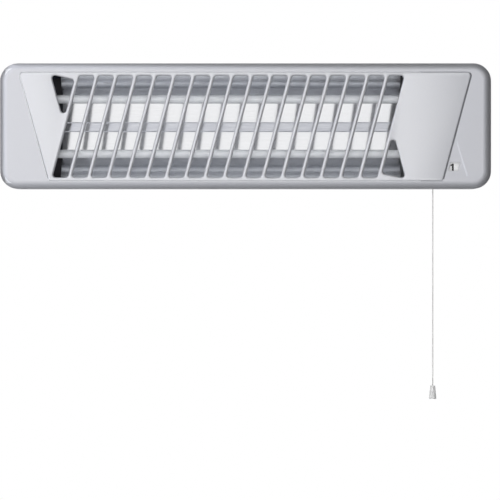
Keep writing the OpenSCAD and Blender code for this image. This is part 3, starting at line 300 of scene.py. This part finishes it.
bmesh.ops.scale(bm, vec=(1, 1, knot_squash), verts=bm.verts)
bmesh.ops.translate(bm, verts=bm.verts, vec=(cord_x, cord_y, cord_end_z - knot_drop))
smooth_faces(bm)
knot = add_piece("cord_knot", bm, braid, "hanging_cord")

# Studio. A white surround that gloss sees too, soft lamps in front, behind and at the sides, and a floor well
# below. Grey flags that only gloss sees stand out of the picture and shade the heater's rounded rims.
world = bpy.data.worlds.new("studio")
scene.world = world
world.use_nodes = True
tree = world.node_tree
background = tree.nodes["Background"]
background.inputs["Color"].default_value = (1, 1, 1, 1)
ambient = 0.1
floor_z = -2.1
floor_size = 9
floor_glow = 0.9
flag_side = 2.4
flag_depth = 2.5
flag_middle = Vector((0, 0.05, 0))
front_flag_width = 2.3
front_flag_place = Vector((1.5, -3, 0))
lens_flag_width = 1.2
lens_flag_height = 0.24
lens_flag_place = Vector((0, camera_place.y - 0.3, -camera_place.z))


def seen_directly(tree):
    """1 for what the camera, gloss or glass sees, 0 for what lights a matt surface."""
    path = tree.nodes.new("ShaderNodeLightPath")
    gloss = tree.nodes.new("ShaderNodeMath")
    gloss.operation = "MAXIMUM"
    tree.links.new(path.outputs["Is Glossy Ray"], gloss.inputs[0])
    tree.links.new(path.outputs["Is Transmission Ray"], gloss.inputs[1])
    seen = tree.nodes.new("ShaderNodeMath")
    seen.operation = "MAXIMUM"
    tree.links.new(path.outputs["Is Camera Ray"], seen.inputs[0])
    tree.links.new(gloss.outputs[0], seen.inputs[1])
    return seen.outputs[0]


level = tree.nodes.new("ShaderNodeMapRange")
level.inputs["To Min"].default_value = ambient
tree.links.new(seen_directly(tree), level.inputs["Value"])
tree.links.new(level.outputs["Result"], background.inputs["Strength"])


def add_stage(name, size_x, size_y, place, target, material):
    """A flat board of that size, facing the target."""
    bm = bmesh.new()
    bmesh.ops.create_grid(bm, x_segments=1, y_segments=1, size=0.5)
    bmesh.ops.scale(bm, vec=(size_x, size_y, 1), verts=bm.verts)
    turn = (Vector(place) - Vector(target)).to_track_quat("Z", "Y").to_matrix()
    bmesh.ops.rotate(bm, cent=(0, 0, 0), matrix=turn, verts=bm.verts)
    bmesh.ops.translate(bm, verts=bm.verts, vec=place)
    mesh = bpy.data.meshes.new(name)
    bm.to_mesh(mesh)
    bm.free()
    mesh.materials.append(material)
    board = bpy.data.objects.new(name, mesh)
    scene.collection.objects.link(board)
    board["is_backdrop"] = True
    return board


floor_paint = bpy.data.materials.new("floor_paint")
floor_paint.use_nodes = True
tree = floor_paint.node_tree
shader = tree.nodes["Principled BSDF"]
shader.inputs["Base Color"].default_value = (0.9, 0.9, 0.9, 1)
shader.inputs["Roughness"].default_value = 0.9
shader.inputs["Emission Color"].default_value = (1, 1, 1, 1)
glow = tree.nodes.new("ShaderNodeMapRange")
glow.inputs["To Min"].default_value = 0
glow.inputs["To Max"].default_value = floor_glow
tree.links.new(seen_directly(tree), glow.inputs["Value"])
tree.links.new(glow.outputs["Result"], shader.inputs["Emission Strength"])
add_stage("floor", floor_size, floor_size, (0, 0, floor_z), (0, 0, floor_z - 1), floor_paint)


def add_flag(name, size_x, size_y, place, target, fall, light, dark):
    """A grey board that only gloss sees. Its shade falls along a direction from light to dark, each given as
    a distance that way and the shade there."""
    cloth = bpy.data.materials.new(name + "_cloth")
    cloth.use_nodes = True
    tree = cloth.node_tree
    shader = tree.nodes["Principled BSDF"]
    shader.inputs["Base Color"].default_value = (0, 0, 0, 1)
    shader.inputs["Roughness"].default_value = 1
    shader.inputs["Specular IOR Level"].default_value = 0
    shader.inputs["Emission Color"].default_value = (0.9, 0.92, 1, 1)
    place_on = tree.nodes.new("ShaderNodeTexCoord")
    along = tree.nodes.new("ShaderNodeVectorMath")
    along.operation = "DOT_PRODUCT"
    along.inputs[1].default_value = fall
    shade = tree.nodes.new("ShaderNodeMapRange")
    shade.inputs["From Min"].default_value, shade.inputs["To Min"].default_value = light
    shade.inputs["From Max"].default_value, shade.inputs["To Max"].default_value = dark
    tree.links.new(place_on.outputs["Object"], along.inputs[0])
    tree.links.new(along.outputs["Value"], shade.inputs["Value"])
    tree.links.new(shade.outputs["Result"], shader.inputs["Emission Strength"])
    flag = add_stage(name, size_x, size_y, place, target, cloth)
    flag.visible_camera = False
    flag.visible_diffuse = False
    flag.visible_shadow = False


for name, out, fall, light, dark in (
    ("left", Vector((-0.9, 0, 0)), (0, 1, 0), (-0.6, 1.5), (-0.1, 0.05)),
    ("right", Vector((0.9, 0, 0)), (0, 1, 0), (-1.2, 0.3), (-0.6, 0.02)),
    ("top", Vector((0, 0, 0.9)), (2.6, 1, 0), (-1.4, 1.35), (-0.2, 0.02)),
    ("low", Vector((0, 0, -0.7)), (1.2, 1, 0), (-1.5, 0.62), (0.4, 0.1)),
):
    size = (flag_depth, flag_side) if out.x else (flag_side, flag_depth)
    add_flag("flag_" + name, *size, flag_middle + out, flag_middle, fall, light, dark)
for name, width, height, place, light, dark in (
    ("flag_front_right", front_flag_width, flag_side, front_flag_place, (0.35, 0.62), (1.2, 0.36)),
    ("lens_flag", lens_flag_width, lens_flag_height, lens_flag_place, (-0.5, 0.72), (0.5, 0.56)),
):
    add_flag(name, width, height, place, (place.x, 0, place.z), (1, 0, 0), light, dark)
for name, place, target, size_x, size_y, power in (
    ("high_lamp", (-0.7, -1.2, 0.9), (-0.1, -0.1, 0), 1.0, 0.8, 9.5),
    ("low_lamp", (-0.7, -1.3, -0.6), (-0.1, -0.1, 0), 1.0, 0.8, 4.5),
    ("front_lamp", (0, -2.6, 0.1), (0, -0.1, 0), 1.6, 1.4, 30),
    ("rear_lamp", (0.4, 2.6, 0.9), (0, 0, 0), 1.6, 1.2, 30),
    ("left_side_lamp", (-1.5, 1.1, 0.5), (-0.2, 0, 0), 1.0, 1.0, 13),
    ("right_side_lamp", (1.5, 1.1, 0.5), (0.2, 0, 0), 1.0, 1.0, 13),
    ("top_lamp", (0.1, 0.9, 1.4), (0, 0, 0), 1.2, 1.0, 7),
):
    data = bpy.data.lights.new(name, "AREA")
    data.shape = "RECTANGLE"
    data.size = size_x
    data.size_y = size_y
    data.energy = power
    lamp = bpy.data.objects.new(name, data)
    lamp.location = place
    lamp.rotation_mode = "QUATERNION"
    lamp.rotation_quaternion = (Vector(target) - Vector(place)).to_track_quat("-Z", "Y")
    lamp.visible_glossy = False
    scene.collection.objects.link(lamp)

# Wall bracket and tilt lugs. They are pressed from galvanised sheet: the bracket is screwed to the wall, the
# lugs to the back plate, and two bolts with nuts and fibre washers join them so that the heater tilts.
spangle_scale = 190
galvanised = finish("galvanised_sheet", (0.5, 0.51, 0.52), 0.85, 0.42, 14, 0.04, 0.05, 0.02)
tree = galvanised.node_tree
place = tree.nodes.new("ShaderNodeTexCoord")
spangle = tree.nodes.new("ShaderNodeTexVoronoi")
spangle.inputs["Scale"].default_value = spangle_scale
spangle_shade = tree.nodes.new("ShaderNodeMapRange")
spangle_shade.inputs["To Min"].default_value = 0.86
spangle_shade.inputs["To Max"].default_value = 1.12
spangle_color = tree.nodes.new("ShaderNodeVectorMath")
spangle_color.operation = "SCALE"
shader = tree.nodes["Principled BSDF"]
tree.links.new(place.outputs["Object"], spangle.inputs["Vector"])
tree.links.new(spangle.outputs["Color"], spangle_shade.inputs["Value"])
tree.links.new(shader.inputs["Base Color"].links[0].from_socket, spangle_color.inputs[0])
tree.links.new(spangle_shade.outputs["Result"], spangle_color.inputs["Scale"])
tree.links.new(spangle_color.outputs[0], shader.inputs["Base Color"])
dress(galvanised, "wall_bracket", "tilt_lug_left", "tilt_lug_right")
screw_steel = finish("zinc_plated_steel", (0.42, 0.425, 0.43), 0.95, 0.32, 0.6, 0.05, 0.08, 0.006)
dress(screw_steel, "lug_screws", "tilt_bolts", "tilt_nuts")
fibre = finish("pressed_fibre", (0.3, 0.2, 0.13), 0, 0.8, 0.5, 0.18, 0.08, 0.04)
dress(fibre, "friction_washers")

# Back plate. Galvanised sheet with pressed vents, held in the casing's back by eight tapping screws. Its
# inner face is coloured dark behind the left end of the slots, to look as shaded as in the photograph.
def inside_group():
    """Keeps one colour outside a box and gives another inside it, by the point's place on the object."""
    group = bpy.data.node_groups.new("inside", "ShaderNodeTree")
    for name, kind in (
        ("Color", "NodeSocketColor"),
        ("Inside Color", "NodeSocketColor"),
        ("Centre", "NodeSocketVector"),
        ("Half Size", "NodeSocketVector"),
    ):
        group.interface.new_socket(name, in_out="INPUT", socket_type=kind)
    group.interface.new_socket("Color", in_out="OUTPUT", socket_type="NodeSocketColor")
    new, link = group.nodes.new, group.links.new
    given = new("NodeGroupInput")
    place = new("ShaderNodeTexCoord")
    from_centre = new("ShaderNodeVectorMath")
    from_centre.operation = "SUBTRACT"
    link(place.outputs["Object"], from_centre.inputs[0])
    link(given.outputs["Centre"], from_centre.inputs[1])
    size = new("ShaderNodeVectorMath")
    size.operation = "ABSOLUTE"
    link(from_centre.outputs[0], size.inputs[0])
    beyond = new("ShaderNodeVectorMath")
    beyond.operation = "SUBTRACT"
    link(size.outputs[0], beyond.inputs[0])
    link(given.outputs["Half Size"], beyond.inputs[1])
    parts = new("ShaderNodeSeparateXYZ")
    link(beyond.outputs[0], parts.inputs[0])
    furthest = parts.outputs["X"]
    for axis in ("Y", "Z"):
        larger = new("ShaderNodeMath")
        larger.operation = "MAXIMUM"
        link(furthest, larger.inputs[0])
        link(parts.outputs[axis], larger.inputs[1])
        furthest = larger.outputs[0]
    inside = new("ShaderNodeMath")
    inside.operation = "LESS_THAN"
    inside.inputs[1].default_value = 0
    link(furthest, inside.inputs[0])
    mix = new("ShaderNodeMix")
    mix.data_type = "RGBA"
    link(inside.outputs[0], mix.inputs["Factor"])
    link(given.outputs["Color"], mix.inputs["A"])
    link(given.outputs["Inside Color"], mix.inputs["B"])
    link(mix.outputs["Result"], new("NodeGroupOutput").inputs["Color"])
    return group


inside = inside_group()


def change_inside(material, color, centre, half_size):
    """Gives the material that colour where it lies inside the box."""
    tree = material.node_tree
    base = tree.nodes["Principled BSDF"].inputs["Base Color"]
    mask = tree.nodes.new("ShaderNodeGroup")
    mask.node_tree = inside
    mask.inputs["Inside Color"].default_value = (*color, 1)
    mask.inputs["Centre"].default_value = centre
    mask.inputs["Half Size"].default_value = half_size
    tree.links.new(base.links[0].from_socket, mask.inputs["Color"])
    tree.links.new(mask.outputs["Color"], base)


plate_inner_y = -0.043
# Painted shade: a dark patch on the plate's inner face behind the left end of the slots.
plate_painted_shade = (0.08, 0.08, 0.09), (-0.2, plate_inner_y, 0), (0.08, 0.0007, 0.1)
plate_steel = galvanised.copy()
plate_steel.name = "plate_steel"
change_inside(plate_steel, *plate_painted_shade)
dress(plate_steel, "back_plate")
dress(screw_steel, "back_plate_screws")

# Casing. A shallow tray moulded with soft rounded rims and lacquered silver. Its groove takes the front
# panel, and a pointed recess at the right holds the status window. The left end inside and the groove at the
# right are coloured darker and the rest of the groove lighter, to look as shaded as in the photograph.
def silver_lacquer(name, color, roughness):
    """Lacquer with fine silver flakes under a thin clear coat."""
    return finish(name, color, 0.6, roughness, 0.22, 0.05, 0.06, 0.004, Coat_Weight=0.08, Coat_Roughness=0.25)


groove_y = front_y + 0.0035
# Painted shade: the casing's inside at its left end is coloured near black.
casing_painted_shade_left = (0.16, 0.16, 0.175), (-0.22, front_y + 0.034, 0), (0.03, 0.028, 0.055)
# Painted light: most of the groove is coloured much lighter than the lacquer, against the shade in it.
groove_painted_light = (0.9, 0.91, 0.93), (-0.035, groove_y, 0), (0.223, 0.0025, 0.0615)
# Painted shade: the groove at the right end is coloured dark.
groove_painted_shade = (0.22, 0.225, 0.24), (0.215, groove_y, 0), (0.033, 0.0025, 0.0572)
casing_lacquer = silver_lacquer("casing_lacquer", (0.595, 0.6, 0.63), 0.42)
for color, centre, half_size in (casing_painted_shade_left, groove_painted_light, groove_painted_shade):
    change_inside(casing_lacquer, color, centre, half_size)
dress(casing_lacquer, "casing")

# Front panel. A flat lacquered plate with leaning ends, seated flush in the casing. Its leaning slots leave
# bars with rounded front edges, and four bosses behind it take screws from the back.
panel_z = -0.0007
lean = math.tan(math.radians(15))
panel_left = 0.22747
panel_right = 0.22664
panel_half_height = 0.058
rim_slack_x = 0.0018
rim_slack_z = 0.0012
bar_edge_r = 0.002
panel_edge_r = 0.0005
sprayed_depth = 0.0024
flat_angle = math.radians(0.5)
front_edge_angle = math.radians(80)
crease_angle = math.radians(30)
bm = bmesh.new()
bm.from_mesh(nodes["front_grille"].data)
bmesh.ops.remove_doubles(bm, verts=bm.verts, dist=1e-6)
bmesh.ops.dissolve_limit(bm, angle_limit=flat_angle, verts=bm.verts, edges=bm.edges)


def at_rim(vert):
    """True on the panel's own outline, false round its slots."""
    across = vert.co.x - (vert.co.z - panel_z) * lean
    return (
        across < -panel_left + rim_slack_x
        or across > panel_right - rim_slack_x
        or abs(vert.co.z - panel_z) > panel_half_height - rim_slack_z
    )


for radius, on_rim in ((bar_edge_r, False), (panel_edge_r, True)):
    bm.normal_update()
    edges = [
        e
        for e in bm.edges
        if all(v.co.y < front_y + 1e-5 for v in e.verts)
        and e.calc_face_angle(0) > front_edge_angle
        and all(at_rim(v) for v in e.verts) == on_rim
    ]
    bmesh.ops.bevel(
        bm,
        geom=edges,
        offset=radius,
        segments=4,
        profile=0.5,
        affect="EDGES",
        material=-1,
        clamp_overlap=False,
    )
smooth_faces(bm)
for edge in bm.edges:
    edge.smooth = edge.calc_face_angle(0) < crease_angle
for face in bm.faces:
    face.material_index = int(face.calc_center_median().y > front_y + sprayed_depth)
panel_lacquer = silver_lacquer("panel_lacquer", (0.65, 0.655, 0.678), 0.4)
panel_back = finish("panel_back", (0.66, 0.665, 0.68), 0.4, 0.5, 0.5, 0.06, 0.06, 0.004)
panel = add_piece("slotted_panel", bm, panel_lacquer, "casing")
panel.data.materials.append(panel_back)
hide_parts("front_grille")
dress(screw_steel, "grille_screws")

# Status window and disc. A clear leaning pane in the recess shows one digit of the white disc behind it. The
# pull switch turns the disc a sixth of a turn at each pull, through 1, 2 and 0.
clear_plastic = finish(
    "clear_plastic", (0.9, 0.91, 0.92), 0, 0.06, 2, 0.01, 0.02, 0.001, Alpha=0.02, Specular_IOR_Level=0.08
)
dress(clear_plastic, "indicator_window")
disc_white = finish("disc_white", (0.9, 0.9, 0.91), 0, 0.42, 0.6, 0.02, 0.04, 0.004)
dress(disc_white, "indicator_disc")
digit_ink = finish("digit_ink", (0.006, 0.006, 0.007), 0, 0.6, 0.4, 0.1, 0.05, 0.002, Specular_IOR_Level=0.1)
disc_x = 0.2123
disc_z = -0.035
disc_step = math.radians(60)
disc_order = "120120"
digit_place = Vector((0.2227, -0.0957, -0.0447))
digit_height = 0.0082
ink_spread = 0.04
one_outline = ((0.12, 0), (0.12, 1), (-0.05, 1), (-0.3, 0.84), (-0.3, 0.66), (-0.13, 0.76), (-0.13, 0))
bm = bmesh.new()
for k, digit in enumerate(disc_order):
    part = bmesh.new()
    if digit == "1":
        part.faces.new([part.verts.new((x, y, 0)) for x, y in one_outline])
    else:
        text = bpy.data.curves.new("digit", "FONT")
        text.body = digit
        text.offset = ink_spread
        glyph = bpy.data.objects.new("digit", text)
        part.from_mesh(glyph.to_mesh())
        glyph.to_mesh_clear()
        bpy.data.objects.remove(glyph)
    low = min(v.co.y for v in part.verts)
    high = max(v.co.y for v in part.verts)
    middle = 0 if digit == "1" else sum(v.co.x for v in part.verts) / len(part.verts)
    bmesh.ops.translate(part, verts=part.verts, vec=(-middle, -(low + high) / 2, 0))
    bmesh.ops.scale(part, verts=part.verts, vec=Vector((1, 1, 1)) * digit_height / (high - low))
    bmesh.ops.rotate(part, cent=(0, 0, 0), matrix=Matrix.Rotation(math.pi / 2, 3, "X"), verts=part.verts)
    bmesh.ops.translate(part, verts=part.verts, vec=digit_place)
    bmesh.ops.rotate(
        part, cent=(disc_x, 0, disc_z), matrix=Matrix.Rotation(k * disc_step, 3, "Y"), verts=part.verts
    )
    mesh = bpy.data.meshes.new("digit")
    part.to_mesh(mesh)
    part.free()
    bm.from_mesh(mesh)
add_piece("disc_digits", bm, digit_ink, "indicator_wheel")

# Reflector. One polished aluminium sheet behind the tubes: flat flanges and steep, slightly bowed walls above
# and below, a shallow trough between them with a flat rib along its middle. Two saddles carry it.
reflector_left = -0.1989
reflector_right = 0.1667
sheet_t = 0.0008
lip_y = front_y + 0.0082
lip_half = 0.057
lip_flange = 0.004
lip_rounding = 0.0008
wall_bow = -0.0018
wall_steps = 12
trough_half = 0.033
trough_r = 0.18
trough_y = front_y + 0.0485
rib_y = trough_y - 0.0008
rib_half = 0.0042
rib_foot = 0.0053
arc_steps = 40
fold_angle = math.radians(12)
arc_centre_y = trough_y - trough_r
bm = bmesh.new()
start_y = arc_centre_y + math.sqrt(trough_r**2 - trough_half**2)
first = bm.verts.new((reflector_left, start_y, trough_half))
arc_turn = math.asin(trough_half / trough_r) - math.asin(rib_foot / trough_r)
bmesh.ops.spin(
    bm,
    geom=[first],
    cent=(0, arc_centre_y, 0),
    axis=(-1, 0, 0),
    angle=arc_turn,
    steps=arc_steps,
    use_duplicate=False,
)
foot = min(bm.verts, key=lambda v: v.co.z)
wall_top = bm.verts.new((reflector_left, lip_y, lip_half))
flange_top = bm.verts.new((reflector_left, lip_y, lip_half + lip_flange))
rib_edge = bm.verts.new((reflector_left, rib_y, rib_half))
highest = max((v for v in bm.verts if v not in (wall_top, flange_top)), key=lambda v: v.co.z)
for pair in ((flange_top, wall_top), (foot, rib_edge)):
    bm.edges.new(pair)
down_wall = highest.co - wall_top.co
out_of_wall = Vector((0, -down_wall.z, down_wall.y)).normalized()
above = wall_top
for k in range(1, wall_steps):
    down = k / wall_steps
    point = bm.verts.new(wall_top.co + down_wall * down + out_of_wall * wall_bow * 4 * down * (1 - down))
    bm.edges.new((above, point))
    above = point
bm.edges.new((above, highest))
bmesh.ops.bevel(
    bm,
    geom=[wall_top],
    offset=lip_rounding,
    segments=3,
    profile=0.5,
    affect="VERTICES",
    material=-1,
    clamp_overlap=True,
)
bmesh.ops.mirror(bm, geom=bm.verts[:] + bm.edges[:], axis="Z", merge_dist=0)
rib_ends = sorted((v for v in bm.verts if abs(abs(v.co.z) - rib_half) < 1e-6), key=lambda v: v.co.z)
bm.edges.new(rib_ends)
run = bmesh.ops.extrude_edge_only(bm, edges=bm.edges[:])
bmesh.ops.translate(
    bm,
    verts=[v for v in run["geom"] if isinstance(v, bmesh.types.BMVert)],
    vec=(reflector_right - reflector_left, 0, 0),
)
bmesh.ops.recalc_face_normals(bm, faces=bm.faces)
if sum(f.normal.y * f.calc_area() for f in bm.faces) > 0:
    bmesh.ops.reverse_faces(bm, faces=bm.faces)
smooth_faces(bm)
for edge in bm.edges:
    edge.smooth = not edge.is_boundary and edge.calc_face_angle(0) < fold_angle
for face in bm.faces:
    height = abs(face.calc_center_median().z)
    face.material_index = int(height > trough_half or rib_half < height < rib_foot)
polished = finish("polished_aluminium", (0.86, 0.865, 0.88), 1, 0.11, 1.2, 0.03, 0.03, 0.0015, (0.08, 1, 1))
satin = finish("satin_aluminium", (0.81, 0.82, 0.85), 1, 0.22, 4, 0.02, 0.03, 0.002)
mirror_sheet = add_piece("polished_reflector", bm, polished, "casing")
mirror_sheet.data.materials.append(satin)
thickness = mirror_sheet.modifiers.new("sheet", "SOLIDIFY")
thickness.thickness = sheet_t
thickness.offset = -1
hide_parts("reflector")
bright_sheet = finish("bright_sheet", (0.55, 0.56, 0.57), 0.9, 0.3, 0.9, 0.05, 0.06, 0.006, (0.1, 1, 1))
dress(bright_sheet, "reflector_saddle_left", "reflector_saddle_right", "inner_rivets")

# Heating tubes. Milky quartz tubes with a coiled wire inside. Glazed ceramic caps close their ends, sheet
# holders carry the caps, brass pins come out of them, and a brass strip links the pins at the left.
quartz = finish(
    "milky_quartz", (0.78, 0.8, 0.83), 0, 0.3, 3, 0.03, 0.06, 0.004, (0.15, 1, 1), Coat_Weight=0.3
)
dress(quartz, "quartz_tube_upper", "quartz_tube_lower")
wire = finish("resistance_wire", (0.2, 0.18, 0.17), 0.8, 0.55, 0.3, 0.2, 0.1, 0.01)
dress(wire, "heating_coil_upper", "heating_coil_lower")
ceramic = finish("steatite", (0.74, 0.71, 0.64), 0, 0.45, 0.7, 0.05, 0.08, 0.015)
dress(ceramic, "end_cap_upper_left", "end_cap_lower_left", "end_cap_upper_right", "end_cap_lower_right")
dress(bright_sheet, "tube_holder_left", "tube_holder_right")
brass = finish("brass", (0.72, 0.54, 0.24), 1, 0.3, 0.5, 0.06, 0.08, 0.004)
dress(brass, "terminal_pins", "link_strip")

# Mains inlet. A ceramic terminal block on the back plate, a nylon bridge that grips the cord, the rubber
# grommet in the plate's hole, and the earth screw.
dress(ceramic, "terminal_block")
dress(brass, "terminal_screws", "earth_screw")
rubber = finish("black_rubber", (0.025, 0.025, 0.026), 0, 0.65, 0.4, 0.15, 0.08, 0.02)
dress(rubber, "cable_grommet")
nylon = finish("white_nylon", (0.78, 0.77, 0.72), 0, 0.42, 0.5, 0.03, 0.06, 0.006)
dress(nylon, "cable_clamp")
dress(screw_steel, "clamp_screws")

# Inner leads. Stranded copper in heat-proof silicone, run from the terminal block to the switch, the tubes'
# pins and the earth screw. The earth lead is green with a yellow stripe.
for node, color in (
    ("lead_common", (0.13, 0.05, 0.025)),
    ("lead_upper", (0.02, 0.02, 0.02)),
    ("lead_lower", (0.17, 0.17, 0.18)),
    ("lead_neutral", (0.04, 0.05, 0.09)),
    ("lead_earth", (0.08, 0.32, 0.05)),
):
    silicone = finish(node + "_silicone", color, 0, 0.5, 0.6, 0.08, 0.08, 0.01)
    dress(silicone, node)
stripe_yellow = (0.7, 0.55, 0.03, 1)
stripe_scale = 60
tree = nodes["lead_earth"].data.materials[0].node_tree
place = tree.nodes.new("ShaderNodeTexCoord")
stripe = tree.nodes.new("ShaderNodeTexWave")
stripe.bands_direction = "DIAGONAL"
stripe.inputs["Scale"].default_value = stripe_scale
band = tree.nodes.new("ShaderNodeMapRange")
band.inputs["From Min"].default_value = 0.48
band.inputs["From Max"].default_value = 0.52
painted = tree.nodes.new("ShaderNodeMix")
painted.data_type = "RGBA"
painted.inputs["A"].default_value = stripe_yellow
shader = tree.nodes["Principled BSDF"]
tree.links.new(place.outputs["Object"], stripe.inputs["Vector"])
tree.links.new(stripe.outputs["Fac"], band.inputs["Value"])
tree.links.new(band.outputs["Result"], painted.inputs["Factor"])
tree.links.new(shader.inputs["Base Color"].links[0].from_socket, painted.inputs["B"])
tree.links.new(painted.outputs["Result"], shader.inputs["Base Color"])

# Pull switch. A phenolic box screwed behind the casing's front. The plunger and its return spring, the rocker
# with its pawl, the ratchet wheel with its cams, and the contacts are nylon, spring steel and brass.
phenolic = finish("cream_phenolic", (0.7, 0.66, 0.57), 0, 0.45, 0.9, 0.05, 0.06, 0.008)
dress(phenolic, "switch_housing", "switch_cover")
dress(screw_steel, "switch_cover_screws", "switch_mount_screws")
dress(brass, "switch_terminals", "fixed_contacts", "contact_leaves")
spring_steel = finish("spring_steel", (0.5, 0.5, 0.51), 1, 0.22, 0.5, 0.05, 0.06, 0.003)
dress(spring_steel, "detent_spring", "return_spring", "pawl_spring", "wheel_shaft")
dress(nylon, "plunger", "rocker", "ratchet_wheel")
bush_plastic = finish("bush_plastic", (0.55, 0.555, 0.56), 0, 0.4, 0.5, 0.03, 0.06, 0.006)
dress(bush_plastic, "cord_bush")

size = {"cad_box": cad_box, "visual_box": [list(corner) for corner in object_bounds()]}
